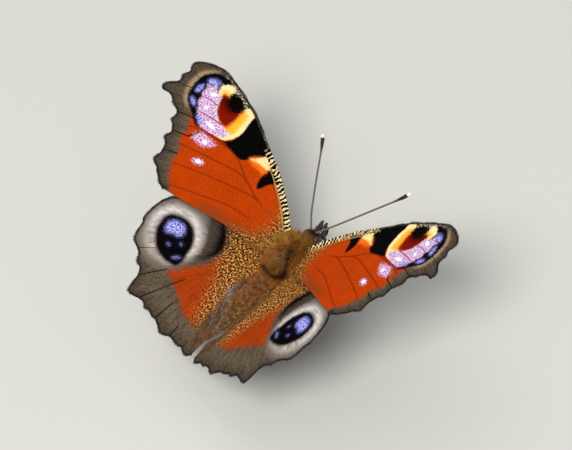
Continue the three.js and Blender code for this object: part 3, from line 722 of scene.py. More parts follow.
# %% Markings of the undersides
FORE_UNDER = [
    ("under_pale", "#4A3F33", 0.8, 0.6, [[
        [20.5, 13.5], [22.5, 9], [21.5, 4], [19.5, -1], [18.5, -6], [22, -5], [26, 0], [28.5, 5], [30.5, 9],
        [30, 14]]]),
    ("under_band", "#120D0A", 0.18, 0.5, [[
        [10.5, 9], [14.5, 11], [18.5, 12.5], [19.2, 10], [20.4, 7], [19, 4], [19.3, 1], [17, -2],
        [16.4, -5.5], [11, -3.6], [12, 0], [11, 3], [12.2, 5.5]]]),
    ("under_edge", "#3B3F46", 0.3, 0.6, [[
        [30.6, 13.6], [31.5, 12.4], [31.6, 9.6], [30.2, 7.4], [28, 4.6], [26.8, 2], [25.8, -0.6], [24, -3.6],
        [23.4, -3], [25, 0], [26, 2.6], [27.4, 5.4], [29.7, 8], [30.8, 10], [30.6, 12]]]),
]
HIND_UNDER = [
    ("under_pale", "#41372D", 0.7, 0.6, [[
        [13.5, -3], [14.5, -7], [12.5, -11], [9, -14.5], [4, -16], [1, -16.5], [1, -20], [6, -20],
        [11, -18.5], [15.5, -14.5], [18.2, -10], [18, -5.4]]]),
    ("under_band", "#0F0B09", 0.18, 0.5, [[
        [7.5, -2.2], [13.2, -3.4], [13.9, -6.6], [12, -10.6], [8.6, -14], [4, -15.4], [1, -15.8], [1, -10.2],
        [4.4, -9.8], [6.6, -7.4], [8, -4.8]]]),
    ("under_edge", "#34383E", 0.3, 0.6, [[
        [19, -6.6], [19.5, -9.6], [18.6, -13.3], [15.8, -16.6], [13.6, -20], [10, -20.3], [6, -21.2],
        [2, -21.2], [2, -20.6], [6, -20.6], [10, -19.6], [13, -18.9], [15.2, -16], [18, -12.8],
        [18.9, -9.6]]]),
    ("under_dot", "#C9C2B4", 0.12, 0.1, [oval(9.6, -8.6, 0.28, 0.24)]),
]
for wing, faces in ((FORE, FORE_TOP + FORE_UNDER), (HIND, HIND_TOP + HIND_UNDER)):
    for name, _, _, _, shapes in faces:
        wing["net"]["measures"][name] = signed_distance(wing["net"]["flat"], shapes)
    print("measures", len(wing["net"]["measures"]))

# %% [markdown]
# The wing finish is chitin under a shingle of overlapping scales, matt, with a faint grain in rows that run
# across the veins. It could be painted on an image. Here it is worked out by the nodes, so that it stays
# sharp at any size. Each colour is laid over the one below by a share, which is a product of smooth steps: a
# step reads a stored distance or a pattern, and goes from nothing at its start to its most at its end.

# %% Laying colours
PLAN_SPAN = 50
SCALE_MM = 0.24
GRAIN_MM = 0.28
STREAKS_ACROSS = 9.0
STREAKS_ALONG = 11.0
patterns = {}


def grain(tree, size_mm, stretch=(1, 1, 1), detail=2.0):
    """Noise with cells of about that size on the wing, from 0 to 1. A tree makes each kind only once."""
    key = (tree.as_pointer(), size_mm, stretch, detail)
    if key not in patterns:
        plan = add_node(tree, "ShaderNodeUVMap", {"uv_map": "wing"})
        turned = add_node(tree, "ShaderNodeMapping", inputs={"Vector": plan, "Scale": stretch})
        patterns[key] = add_node(tree, "ShaderNodeTexNoise", inputs={
            "Vector": turned, "Scale": PLAN_SPAN / size_mm, "Detail": detail}, out="Fac")
    return patterns[key]


def reading(tree, name):
    """What a step reads: grain, streaks along the veins, or what the mesh stores under the name."""
    if name == "grain":
        return grain(tree, GRAIN_MM)
    if name != "streaks":
        return add_node(tree, "ShaderNodeAttribute", {"attribute_name": name}, out="Fac")
    key = (tree.as_pointer(), name)
    if key not in patterns:
        at = add_node(tree, "ShaderNodeCombineXYZ", inputs={
            "X": share_of(tree, reading(tree, "thread"), STREAKS_ACROSS),
            "Y": share_of(tree, reading(tree, "station"), STREAKS_ALONG)})
        patterns[key] = add_node(tree, "ShaderNodeTexNoise", inputs={
            "Vector": at, "Scale": 1.0, "Detail": 3.0}, out="Fac")
    return patterns[key]


def share_of(tree, *parts):
    """A share as the product of its parts. A part is a number, a socket, or a smooth step, which is given as
    what it reads (a name or a socket), where it starts, where it ends, and its most if that isn't 1."""
    product = None
    for part in parts:
        if isinstance(part, tuple):
            read, *limits = part
            read = reading(tree, read) if isinstance(read, str) else read
            part = add_node(tree, "ShaderNodeMapRange", {"interpolation_type": "SMOOTHSTEP"},
                            dict(zip(("Value", "From Min", "From Max", "To Max"), [read, *limits])))
        if product is not None:
            part = add_node(tree, "ShaderNodeMath", {"operation": "MULTIPLY"}, {0: product, 1: part})
        product = part
    return product


def laid(tree, below, above, *parts):
    """Lays a colour over another by a share. A colour is hex, a socket, or a list of what laid takes."""
    below, above = (linear(c) if isinstance(c, str) else laid(tree, *c) if isinstance(c, list) else c
                    for c in (below, above))
    inputs = {0: share_of(tree, *parts), 6: below, 7: above}
    return add_node(tree, "ShaderNodeMix", {"data_type": "RGBA"}, inputs, out=2)


print("laying ready")

# %% [markdown]
# Layers without one flat colour are speckled: single scales of three or four colours side by side, as in
# the golden base, the lilac of the eyespot and its clouds. The brown margin and the pale ring are
# streaked along the veins.

# %% Layers and speckles
SPECKLES = {
    "gold": (["#120803", "#582B0B", "#965822", "#D8A65C"], 0.28, 0.1),
    "lilac": (["#8A5684", "#BC8CB6", "#D2B0D4", "#F0E4F6"], 0.22, 0.16),
    "clouds": (["#A44A44", "#C48CBA", "#E6DAF2"], 0.22, 0.16),
    "violet": (["#16142C", "#6E6EC4", "#A9AAF2", "#D4D6FF"], 0.24, 0.12),
    "costal_specks": (["#0B0908", "#1A1613", "#9C9078", "#E8DCBC"], 0.3, 0.06),
    "costal_edge": (["#15100C", "#4A3C2C", "#8C7B62"], 0.26, 0.12),
}
SPECKLES_FROM, SPECKLES_SPAN = 0.36, 0.28
STREAKED = ("brown", "grey", "hollow", "pale", "bright")
EDGE_SWING = 3
PALE_STREAKS = [("#75685C", ("streaks", 0.6, 0.42, 0.6))]
WITHIN = {
    "brown": [(["#32281C", "#6A5C4A", ("streaks", 0.3, 0.7)], 0.45), ("#7C6E5A", ("grain", 0.4, 0.62, 0.35)),
              ("#2C241B", ("margin_mm", 2.0, 0.3, 0.5))],
    "pale": PALE_STREAKS, "bright": PALE_STREAKS}


def layer_share(tree, name, soft, ragged):
    """Where a layer shows: its signed distance, roughened by the scales at its edge."""
    rough = reading(tree, "streaks") if name in STREAKED else grain(tree, SCALE_MM)
    edge = add_node(tree, "ShaderNodeMath", {"operation": "MULTIPLY_ADD"}, {
        0: rough, 1: ragged * EDGE_SWING, 2: reading(tree, name)})
    middle = ragged * EDGE_SWING / 2
    return share_of(tree, (edge, middle + soft, middle - soft))


def speckled(tree, colours, size_mm, contrast):
    """Single scales of several colours side by side."""
    cells = grain(tree, size_mm, detail=3.0)
    made = colours[0]
    for k, hex_colour in enumerate(colours[1:], 1):
        middle = SPECKLES_FROM + SPECKLES_SPAN * k / len(colours)
        made = laid(tree, made, hex_colour, (cells, middle - contrast / 2, middle + contrast / 2))
    return made


def laid_layers(tree, colour, layers):
    """Lays the layers over a colour, and over each what is within it alone."""
    for name, hex_colour, soft, ragged, _ in layers:
        inside = layer_share(tree, name, soft, ragged)
        colour = laid(tree, colour, hex_colour or speckled(tree, *SPECKLES[name]), inside)
        for above, part in WITHIN.get(name, []):
            colour = laid(tree, colour, above, inside, part)
    return colour


print("speckled layers", len(SPECKLES))

# %% [markdown]
# The upper side starts from a field of red brown with paler and darker grains, and dark veins with a
# painted highlight, bright orange, along their middle near the root. The layers lie on that. The forewing's
# front edge has cream ticks on black with a cream line behind them, and folds and margin are drawn last, in
# dark lines.

# %% Wing finishes
ROW_GRAIN = {"size_mm": 0.22, "stretch": (1, 2.6, 1), "detail": 1.0}
ROW_BUMP = (0.35, 0.04)
TICK_PERIOD = 0.68
TICK_SLANT = 0.25
TICK_WAVER, WAVER_MM = 1.1, 0.7
TICK_EDGE = (0.17, 0.23)
FIELD_MM = 2.2
UNDER_FIELD_MM = 2.5
WAVE_SPACING = 2.6
WAVE_TURN = 0.35


def ticks(tree):
    """Cream ticks on black, slanted and wavering, along the front edge."""
    turn = reading(tree, "costa_arc")
    for source, amount in ((reading(tree, "costa_mm"), TICK_SLANT), (grain(tree, WAVER_MM), TICK_WAVER)):
        inputs = {0: source, 1: amount, 2: turn}
        turn = add_node(tree, "ShaderNodeMath", {"operation": "MULTIPLY_ADD"}, inputs)
    for operation, amount in (("DIVIDE", TICK_PERIOD), ("FRACT", 0), ("PINGPONG", 0.5)):
        turn = add_node(tree, "ShaderNodeMath", {"operation": operation}, {0: turn, 1: amount})
    return laid(tree, "#E6CF96", "#060403", (turn, *TICK_EDGE))


def wing_material(name, layers, field, vein_hex, vein_share, has_ticks):
    """The upper side of a wing."""
    made, tree = new_material(name)
    fine = grain(tree, SCALE_MM)
    colour = laid(tree, *field, grain(tree, FIELD_MM))
    colour = laid(tree, colour, "#7E2600", (fine, 0.5, 0.68, 0.45))
    colour = laid(tree, colour, "#D85812", (fine, 0.46, 0.32, 0.3))
    colour = laid(tree, colour, vein_hex, ("vein_mm", 0.18, 0.03, vein_share))
    # A painted highlight: bright orange along the middle of each vein near the root.
    painted_vein_highlight = add_node(tree, "ShaderNodeMath", {"operation": "SUBTRACT"}, {
        0: share_of(tree, ("station", 0.4, 0.1, 0.6)), 1: share_of(tree, ("vein_mm", 0.03, 0.1))})
    colour = laid(tree, colour, "#E07C26", painted_vein_highlight)
    if not has_ticks:
        colour = laid(tree, colour, "#5A1E06", ("streaks", 0.5, 0.72, 0.45))
    colour = laid_layers(tree, colour, layers)
    if has_ticks:
        colour = laid(tree, colour, ticks(tree), ("costa_mm", 1.05, 0.9), ("costa_arc", 15.2, 14.4))
        colour = laid(tree, colour, "#B49A60", ("costa_mm", 1.05, 1.14), ("costa_mm", 1.31, 1.22, 0.8),
                      ("costa_arc", 13.0, 12.4))
        colour = laid(tree, colour, speckled(tree, *SPECKLES["costal_edge"]), ("costa_mm", 0.4, 0.12, 0.85),
                      ("costa_arc", 14.6, 15.6))
    colour = laid(tree, colour, "#120D0A", ("fold_mm", 0.17, 0.05, 0.85))
    colour = laid(tree, colour, "#24201F", ("margin_mm", 0.4, 0.1, 0.9))
    rows = grain(tree, **ROW_GRAIN)
    finish_material(tree, colour, rows, *ROW_BUMP, Roughness=0.85, Specular_IOR_Level=0.03)
    return made


def under_material(name, layers):
    """The underside of a wing."""
    made, tree = new_material(name)
    colour = laid_layers(tree, laid(tree, "#1C1613", "#332921", grain(tree, UNDER_FIELD_MM)), layers)
    plan = add_node(tree, "ShaderNodeUVMap", {"uv_map": "wing"})
    turned = add_node(tree, "ShaderNodeMapping", inputs={"Vector": plan, "Rotation": (0, 0, WAVE_TURN)})
    waves = add_node(tree, "ShaderNodeTexWave", {"wave_type": "BANDS", "bands_direction": "X"}, {
        "Vector": turned, "Scale": PLAN_SPAN / WAVE_SPACING, "Distortion": 9.0, "Detail": 3.0,
        "Detail Scale": 2.4}, out="Fac")
    colour = laid(tree, colour, "#0B0807", (waves, 0.5, 0.85, 0.75))
    colour = laid(tree, colour, "#120D0A", ("vein_mm", 0.25, 0.03, 0.7))
    rows = grain(tree, **ROW_GRAIN)
    finish_material(tree, colour, rows, *ROW_BUMP, Roughness=0.78, Specular_IOR_Level=0.2)
    return made


FORE_FIELD = ("#BE3E04", "#A23200")
HIND_FIELD = ("#AE3C06", "#84300A")
FORE["finish"] = [
    wing_material("Scaled chitin, forewing upper side", FORE_TOP, FORE_FIELD, "#6A1A02", 0.6, True),
    under_material("Scaled chitin, forewing underside", FORE_UNDER)]
HIND["finish"] = [
    wing_material("Scaled chitin, hindwing upper side", HIND_TOP, HIND_FIELD, "#6E2A0C", 0.2, False),
    under_material("Scaled chitin, hindwing underside", HIND_UNDER)]
print("wing finishes ready")

# %% [markdown]
# Each wing is the net pulled over its veins and thickened by a modifier. The membrane is much thinner than
# in the solids, as in life. Its faces that look down take the underside's finish.

# %% Wings


def store(mesh, name, values):
    """Keeps a number or a colour for each vertex under a name that the finishes read."""
    if values.ndim == 1:
        mesh.attributes.new(name, "FLOAT", "POINT").data.foreach_set("value", values.astype(np.float32))
    else:
        filled = np.ones((len(values), 4), np.float32)
        filled[:, :3] = values
        mesh.attributes.new(name, "FLOAT_COLOR", "POINT").data.foreach_set("color", filled.ravel())


def write_map(mesh, name, places):
    """Writes a UV map from one place for each vertex."""
    layer = mesh.uv_layers.new(name=name)
    corners = np.zeros(len(mesh.loops), int)
    mesh.loops.foreach_get("vertex_index", corners)
    layer.data.foreach_set("uv", places[corners].astype(np.float32).ravel())


def on_plan(points):
    """Places on the wing's own map, which covers a square of the plan."""
    return points / PLAN_SPAN + 0.5


def make_wing(wing, side):
    net = wing["net"]

    def shape(a, b):
        k = plan_index(net, a, b)
        return wing["place"](side, *net["flat"][k].T, net["crest"][k] * RIDGE)

    piece, a, b = pulled_grid(net["columns"], ROWS, shape)
    k = plan_index(net, a, b)
    for key, values in net["measures"].items():
        fainter = wing["right_folds"] if (key, side) == ("fold_mm", -1) else 0
        store(piece.data, key, values[k] + fainter)
    write_map(piece.data, "wing", on_plan(net["flat"][k]))
    merged(piece)
    if np.mean([face.normal.z for face in piece.data.polygons]) < 0:
        piece.data.flip_normals()
    thicken = piece.modifiers.new("thickness", "SOLIDIFY")
    thicken.thickness = WING_THICKNESS * MM
    thicken.offset = 0
    thicken.use_even_offset = False
    thicken.use_rim = True
    bpy.ops.object.modifier_apply(modifier="thickness")
    bpy.ops.object.shade_smooth()
    return piece


for side, label in SIDES:
    for kind, wing in (("forewing", FORE), ("hindwing", HIND)):
        made = make_wing(wing, side)
        finish_piece(made, f"{kind}_{label}_scaled", wing["finish"], [f"{kind}_{label}"])
        facing = np.array([face.normal.z for face in made.data.polygons])
        made.data.polygons.foreach_set("material_index", (facing < 0).astype(int))

# %% [markdown]
# Head, thorax and abdomen are one skin from the face to the tip of the tail. It is a rolled-up grid drawn
# through the body's own sections, and lies inside the solids by the depth of the fur. Sections are given as
# the place along the body, the half width, the top and the bottom.

# %% Body skin
ABDOMEN = {"front": -5.1, "length": 12.4, "segments": 8, "radius": 1.95, "tip": 0.4, "centre": 0.12,
           "rise": 0.8, "groove": 0.07}
FRONT_SECTIONS = [
    [5.0, 0.3, -0.6, -1.35], [4.9, 0.62, -0.4, -1.5], [4.6, 0.95, 0.05, -1.8], [3.9, 1.15, 0.36, -1.9],
    [3.2, 1.1, 0.4, -1.72], [2.7, 1.0, 0.4, -1.5], [2.4, 1.3, 0.75, -1.65], [1.9, 1.75, 1.7, -2.05],
    [1.0, 2.25, 2.65, -2.55], [-0.2, 2.6, 3.15, -2.85], [-1.6, 2.7, 3.3, -2.9], [-3.0, 2.55, 3.05, -2.6],
    [-4.1, 2.1, 2.5, -2.05], [-4.8, 1.55, 1.85, -1.5]]
PLUMP_FROM, PLUMP_SPAN, PLUMP_POWER = 0.3, 0.62, 0.8
TAPER_FROM, TAPER_SHARE = 0.55, 0.75
GROOVE_REACH, RISE_POWER, TOP_FLATTER = 0.1, 1.5, 0.98
SKIN_AROUND = 72
SKIN_ALONG = 300
ROUND_SECTIONS = 0.006
END_CLOSING = 0.012


def abdomen_section(s):
    """One section of the abdomen, s from 0 at its front to 1 at its tip."""
    part = (s * ABDOMEN["segments"]) % 1
    swell = math.sin(math.pi * (PLUMP_FROM + PLUMP_SPAN * s)) ** PLUMP_POWER
    taper = 1 - float(ease(TAPER_FROM, 1, s)) * (1 - ABDOMEN["tip"] / ABDOMEN["radius"]) * TAPER_SHARE
    groove = ABDOMEN["groove"] * math.exp(-(min(part, 1 - part) / GROOVE_REACH) ** 2)
    radius = ABDOMEN["radius"] * swell * taper - groove
    centre = ABDOMEN["centre"] + ABDOMEN["rise"] * s ** RISE_POWER
    return [ABDOMEN["front"] - ABDOMEN["length"] * s, radius, centre + radius * TOP_FLATTER, centre - radius]


SECTIONS = np.array(FRONT_SECTIONS + [abdomen_section(s) for s in np.linspace(0.02, 0.995, 97)])
BODY_SHARES = run_length(SECTIONS[:, :1]) / run_length(SECTIONS[:, :1])[-1]


def skin_place(a, b):
    """A place on the skin, a round it from the left side over the top, b along it."""
    near = [np.clip(b + shift * ROUND_SECTIONS, 0, 1) for shift in (-1, 0, 1)]
    along, wide, top, bottom = sum(read_at(where, BODY_SHARES, SECTIONS) for where in near).T / len(near)
    turn = a * 2 * math.pi
    closing = np.sqrt(np.clip(np.minimum(b, 1 - b) / END_CLOSING, 0, 1))
    up = (top + bottom) / 2 + (top - bottom) / 2 * closing * np.sin(turn)
    return wide * closing * np.cos(turn), along, up


print("sections", len(SECTIONS))

# %% [markdown]
# Fur and skin carry the same markings, so both read them from one function of the place. It starts from a
# brown gold and lays tones over it: painted shade that darkens the right side, a lighter arc and a dull
# patch on the thorax, a painted shadow line beside the patch at the edge of a tuft of hair, a line of
# painted shade where the thorax meets the abdomen, specks and an orange flank on the abdomen, grey brown
# on the face and belly.

# %% Markings of the body
# A painted shadow: the dark line at the edge of a tuft of hair on the right of the thorax.
THORAX_SHADOW_LINE = [[-1.15, -0.5], [-1.6, -1.5], [-2.0, -2.6], [-2.3, -3.7]]
THORAX_ARC = [[2.7, -2.6], [2.1, -0.8], [0.4, 0.3], [-0.6, 1.6], [-1.0, 2.6]]
# Painted shade: a near-black line where the thorax meets the abdomen.
THORAX_REAR_SHADE = [[1.7, -4.6], [0.9, -4.6], [0.0, -5.0], [-1.3, -5.0], [-2.0, -4.3], [-2.2, -3.6]]


def tone(hex_colour):
    return np.array(linear(hex_colour)[:3])


def body_marking(out, fwd, up):
    """The colour of the fur and skin at a place, in linear light."""
    out, fwd, up = together(out, fwd, up)
    flat = np.stack([out, fwd], -1)
    back = -fwd
    above = ease(0.2, 0.8, up)

    def spot(centre_out, centre_fwd, half_out, half_fwd):
        return np.exp(-(((out - centre_out) / half_out) ** 2 + ((fwd - centre_fwd) / half_fwd) ** 2))

    def line(points, width):
        return np.exp(-(nearest(flat, [points])[0] / width) ** 2) * above

    specks = np.sin(out * 11.3 + 2.1 * np.sin(fwd * 8.1)) * np.sin(fwd * 13.7 + 1.9 * np.sin(out * 7.7))
    pale_specks = ease(0.35, 0.65, -specks) * (spot(-0.9, -6.8, 1.3, 0.8) + ease(8, 10, back) * 0.6)
    belly = ease(0.6, 2.0, 0.05 * np.clip(back - 5, 0, 20) - up)
    colour = np.zeros(out.shape + (3,)) + tone("#A06428")
    for hex_colour, share in (
            # The first tone is painted shade: it makes the right side of the body darker.
            ("#8E5C22", ease(-0.4, 1.8, -out) * 0.6), ("#A4692A", ease(1.4, 2.4, out) * 0.8),
            ("#9A752E", line(THORAX_ARC, 0.75) * 0.8), ("#8A6C44", spot(-0.95, -2.2, 0.8, 1.1) * above),
            ("#9A6230", ease(4.9, 5.2, back)), ("#B8701E", spot(-1.8, -5.3, 0.9, 0.7) * above * 0.9),
            # The near-black line beside the dull patch is a painted shadow at the edge of a tuft of hair.
            ("#8E4E1C", spot(1.8, -4.0, 0.6, 1.2) * 0.8), ("#24150A", line(THORAX_SHADOW_LINE, 0.2) * 0.95),
            # The near-black line at the rear of the thorax is painted shade between thorax and abdomen.
            ("#140C06", line(THORAX_REAR_SHADE, 0.26)), ("#77604A", ease(11.0, 15, back) * 0.7),
            ("#2A1A10", ease(0.3, 0.6, specks) * ease(5.8, 6.4, back) * 0.75),
            ("#C09858", np.clip(pale_specks, 0, 1) * 0.8), ("#85582A", ease(2.0, 2.6, fwd)),
            ("#3C2E28", ease(3.7, 4.2, fwd)), ("#2C211A", belly * 0.85)):
        colour += (tone(hex_colour) - colour) * share[..., None]
    return np.clip(colour, 0, 1)


skin, a, b = pulled_grid(SKIN_AROUND, SKIN_ALONG, lambda a, b: placed(*skin_place(a, b)))
store(skin.data, "marking", body_marking(*skin_place(a, b)))
merged(skin)
SKIN, tree = new_material("Chitin of the body, dull and finely haired")
marking = add_node(tree, "ShaderNodeAttribute", {"attribute_name": "marking"}, out="Color")
where = add_node(tree, "ShaderNodeTexCoord", out="Object")
pits = add_node(tree, "ShaderNodeTexNoise", inputs={
    "Vector": where, "Scale": 5500.0, "Detail": 2.0}, out="Fac")
finish_material(tree, laid(tree, marking, "#1A100A", pits, 0.8), pits, 0.5, 0.05, Roughness=0.7,
                Specular_IOR_Level=0.3)
finish_piece(skin, "body_skin", [SKIN], ["head", "thorax", "abdomen"])

# %% [markdown]
# The fur is made of tufts. A tuft is a slim three-sided blade with a bend in it, closed at the root.
# Thousands of them are written as one mesh from arrays. Each follows the lie of the coat, backward along the
# body, and each carries one colour and a small patch on the skin's own map.

# %% Tufts
TUFT_PATCH = 0.003
TUFT_POINTS = 7
TUFT_FACES = [[0, 3, 4, 1], [1, 4, 5, 2], [2, 5, 3, 0], [3, 6, 4], [4, 6, 5], [5, 6, 3], [0, 1, 2]]
TUFT_ALONG = [0, 0, 0, 0.5, 0.5, 0.5, 1.0]
TUFT_THICK, TUFT_SUNK, TUFT_DROOP = 0.7, 0.6, 0.3
TUFT_WAIST, TUFT_WAIST_THICK = 0.36, 0.6
TUFT_MAP = np.array([[-0.5, 0], [0.5, 0], [0, 0], [-0.4, 0.5], [0.4, 0.5], [0, 0.5], [0, 1]]) * TUFT_PATCH
SWAY_MM = 1.1
SWAY = [(random.normal(0, 2 * math.pi / SWAY_MM, (3, 3)), random.uniform(0, 6.28, 3)) for _ in range(4)]
LOCKS = 0.25
SHADE_SWAY, SHADE_SPREAD = 0.22, 0.32


def tufts(roots, lies, rises, lengths, widths, colours, patches, spread, droop=0.35):
    """Joined tufts. roots in mm, lies and rises unit directions along and out of the skin. Their lie drifts
    over the coat, the same for neighbours, so that they fall in locks."""
    count = len(roots)
    drift = sum(np.sin(roots @ turn + start) for turn, start in SWAY) / 2
    lies = unit(lies + drift * LOCKS + random.normal(0, spread, (count, 3)))
    sides = unit(np.cross(lies, rises)) * widths[:, None]
    thick = unit(np.cross(sides, lies)) * widths[:, None] * TUFT_THICK
    middle = roots + lies * lengths[:, None] * 0.5
    tips = roots + lies * lengths[:, None] - rises * (lengths * droop * TUFT_DROOP)[:, None]
    sunk = roots - rises * (widths * TUFT_SUNK)[:, None]
    rings = [sunk - sides / 2, sunk + sides / 2, sunk + thick, middle - sides * TUFT_WAIST,
             middle + sides * TUFT_WAIST, middle + thick * TUFT_WAIST_THICK, tips]
    points = np.stack(rings, 1).reshape(-1, 3)
    points[:, 2] = np.maximum(points[:, 2], 0)
    first = np.arange(count)[:, None] * TUFT_POINTS
    faces = []
    for corners in (4, 3):
        kind = np.array([face for face in TUFT_FACES if len(face) == corners])
        faces += (first[:, :, None] + kind).reshape(-1, corners).tolist()
    mesh = bpy.data.meshes.new("tufts")
    mesh.from_pydata((points * MM).tolist(), [], faces)
    store(mesh, "marking", np.repeat(colours, TUFT_POINTS, axis=0))
    store(mesh, "along", np.tile(TUFT_ALONG, count))
    spread_shades = random.uniform(-SHADE_SPREAD, SHADE_SPREAD, count)
    shades = np.clip(0.5 + SHADE_SWAY * drift[:, 0] + spread_shades, 0, 1)
    store(mesh, "shade", np.repeat(shades, TUFT_POINTS))
    write_map(mesh, "OFBake", np.clip((patches[:, None] + TUFT_MAP).reshape(-1, 2), 0, 1))
    piece = bpy.data.objects.new("tufts", mesh)
    bpy.context.scene.collection.objects.link(piece)
    return merged(piece)


FUR, tree = new_material("Scale hair, silky and matt")
marking = add_node(tree, "ShaderNodeAttribute", {"attribute_name": "marking"}, out="Color")
lightness = add_node(tree, "ShaderNodeMapRange", {"interpolation_type": "SMOOTHSTEP"}, {
    "Value": reading(tree, "shade"), "To Min": 0.65, "To Max": 1.7})
varied = add_node(tree, "ShaderNodeHueSaturation", inputs={
    "Value": lightness, "Color": laid(tree, marking, "#1C1008", ("along", 0.7, 0.0, 0.45))})
finish_material(tree, varied, Roughness=0.7, Specular_IOR_Level=0.12)
print("fur finish ready")

# %% [markdown]
# The coat is longest on the collar, where it stands up round the neck, and shortest on the abdomen,
# where it lies flat. Hair could be grown as particles, but only solid mesh is kept in the export, so
# every tuft is a small mesh.

# %% Coat of the body
BELLY_BELOW, BELLY_SHORTER = -0.2, 0.75
WIDTH_RANGE = (0.7, 1.2)
LEAST_STAND, MOST_STAND = 0.5, 1.3


def skin_frame(a, b, step=1e-3):
    """A place on the skin in mm, the way out of it and the way back along it, as model directions."""
    here, round_it, back = (placed(*skin_place(at_a, np.clip(at_b, 0, 1))) / MM
                            for at_a, at_b in ((a, b), (a + step, b), (a, b + step)))
    return here, unit(np.cross(back - here, round_it - here)), unit(back - here)


def body_coat(name, count, front, rear, length_mm, width_mm, stand, spread, keep=None, lean=1.0):
    """Tufts on the skin between two places along the body. stand is how far they stand off it, lean how far
    they lie back. keep picks the places that carry fur."""
    front, rear = np.interp([-front, -rear], -SECTIONS[:, 0], BODY_SHARES)
    a = random.random(count)
    b = front + (rear - front) * random.random(count)
    out, fwd, up = skin_place(a, b)
    if keep is not None:
        a, b, out, fwd, up = np.stack([a, b, out, fwd, up])[:, keep(out, fwd, up)]
    roots, rises, back = skin_frame(a, b)
    shorter = np.where(rises[:, 2] < BELLY_BELOW, BELLY_SHORTER, 1.0)
    lengths = length_mm * random.uniform(0.6, 1.15, len(a)) * shorter
    widths = width_mm * random.uniform(*WIDTH_RANGE, len(a))
    off_skin = stand * random.uniform(LEAST_STAND, MOST_STAND, len(a))
    lies = unit(back * lean + rises * off_skin[:, None])
    colours = body_marking(out, fwd - lengths * lean * 0.5, up)
    piece = tufts(roots, lies, rises, lengths, widths, colours, np.stack([a, b], -1), spread)
    return finish_piece(piece, name, [FUR], [])


BARE_ROUND_EYE = {"out": 0.5, "fwd": 0.65, "up": 0.75}


def off_the_eyes(out, fwd, up):
    places = {"out": np.abs(out), "fwd": fwd, "up": up}
    away = [(places[way] - EYE[way]) / reach for way, reach in BARE_ROUND_EYE.items()]
    return np.square(away).sum(axis=0) > 1


# The numbers are count, front and rear along the body, length and width, stand and spread.
body_coat("fur_collar", 6500, 3.0, -0.4, 1.75, 0.055, 1.0, 0.25, lean=0.1)
body_coat("fur_thorax", 18000, 1.4, -5.2, 1.2, 0.055, 0.75, 0.2)
body_coat("fur_abdomen", 19000, -4.9, -17.4, 0.55, 0.06, 0.25, 0.14)
head_coat = body_coat("fur_head", 5200, 4.95, 2.3, 0.85, 0.05, 0.8, 0.3, off_the_eyes)

# %% [markdown]
# Long silky hair grows on the wings too: golden over the roots of both wings, and grey brown along the inner
# margin of the hindwing, where it lies beside the abdomen. It lies nearly flat, pointing outward and back. A
# last row just outside the inner margin's hair is golden on the right, and pale grey on the left as a
# painted sheen, where the hair reflects the sky.

# %% Hair on the wings
GOLDEN = ["#B07A2E", "#96601F", "#C29046", "#7A4C1C"]
BROWN_GREY = ["#6E5038", "#82644A", "#56402C", "#74542E"]
# Pale grey for the left edge row: a painted sheen, the sky reflected on the hair.
PAINTED_SHEEN_GREY = ["#B8A898", "#A09080", "#CCC0B2", "#8C7C6C"]
FORE_ROOT = [[1.7, 2.0], [3.6, 3.0], [5.0, 1], [6.0, -2.8], [2, -2]]
HIND_ROOT = [[1.6, -2.0], [4.6, -2.2], [4.8, -5], [3.4, -8.5], [1.6, -6]]
HIND_INNER = [[1.6, -5.5], [3.3, -7.0], [3.3, -11], [2.9, -14], [2.5, -17.5], [1.4, -20.5], [0.8, -18],
              [1.4, -13]]
HIND_EDGE = [[2.9, -7.8], [3.7, -8.4], [3.4, -10.0], [2.8, -12], [2.3, -14], [1.9, -15.8], [1.1, -16.4],
             [1.1, -14.4], [1.7, -12], [2.3, -10]]
LENGTH_RANGE = (0.6, 1.2)
HAIR_WIDTH = 0.05
TURN_SPREAD = 0.25
ABOVE_MIDDLE = 0.4


def wing_frame(wing, side, u, v, step=0.05):
    """Places on a wing in mm, and the ways outward, forward and up from it there."""
    here, out, fwd = (wing["place"](side, *at, 0) / MM for at in ((u, v), (u + step, v), (u, v + step)))
    out, fwd = unit(out - here), unit(fwd - here)
    return here, out, fwd, unit(np.cross(out, fwd)) * side


def hair(name, roots, rises, lies, patches, hexes, length_mm, width_mm, stand, spread,
         least_stand=LEAST_STAND):
    """Tufts of mixed tones. stand is how far they stand off for each millimetre along."""
    count = len(roots)
    lies = unit(lies + rises * (stand * random.uniform(least_stand, MOST_STAND, count))[:, None])
    colours = np.array([tone(h) for h in hexes])[random.integers(0, len(hexes), count)]
    lengths = length_mm * random.uniform(*LENGTH_RANGE, count)
    widths = width_mm * random.uniform(*WIDTH_RANGE, count)
    piece = tufts(roots, lies, rises, lengths, widths, colours, patches, spread)
    return finish_piece(piece, name, [FUR], [])


def wing_hair(name, wing, side, shape, count, lie, length_mm, stand, hexes):
    """Hair inside an outline on a wing. Twice the count falls on its box, and what is inside is kept."""
    low, high = np.min(shape, axis=0), np.max(shape, axis=0)
    points = low + (high - low) * random.random((count * 2, 2))
    points = points[signed_distance(points, [shape]) < 0][:count]
    here, out, fwd, rises = wing_frame(wing, side, *points.T)
    turn = (np.arctan2(lie[1], lie[0]) + random.normal(0, TURN_SPREAD, len(points)))[:, None]
    roots = here + rises * (WING_THICKNESS * ABOVE_MIDDLE)
    lies = out * np.cos(turn) + fwd * np.sin(turn)
    hair(name, roots, rises, lies, on_plan(points), hexes, length_mm, HAIR_WIDTH, stand, spread=0.1,
         least_stand=0.4)


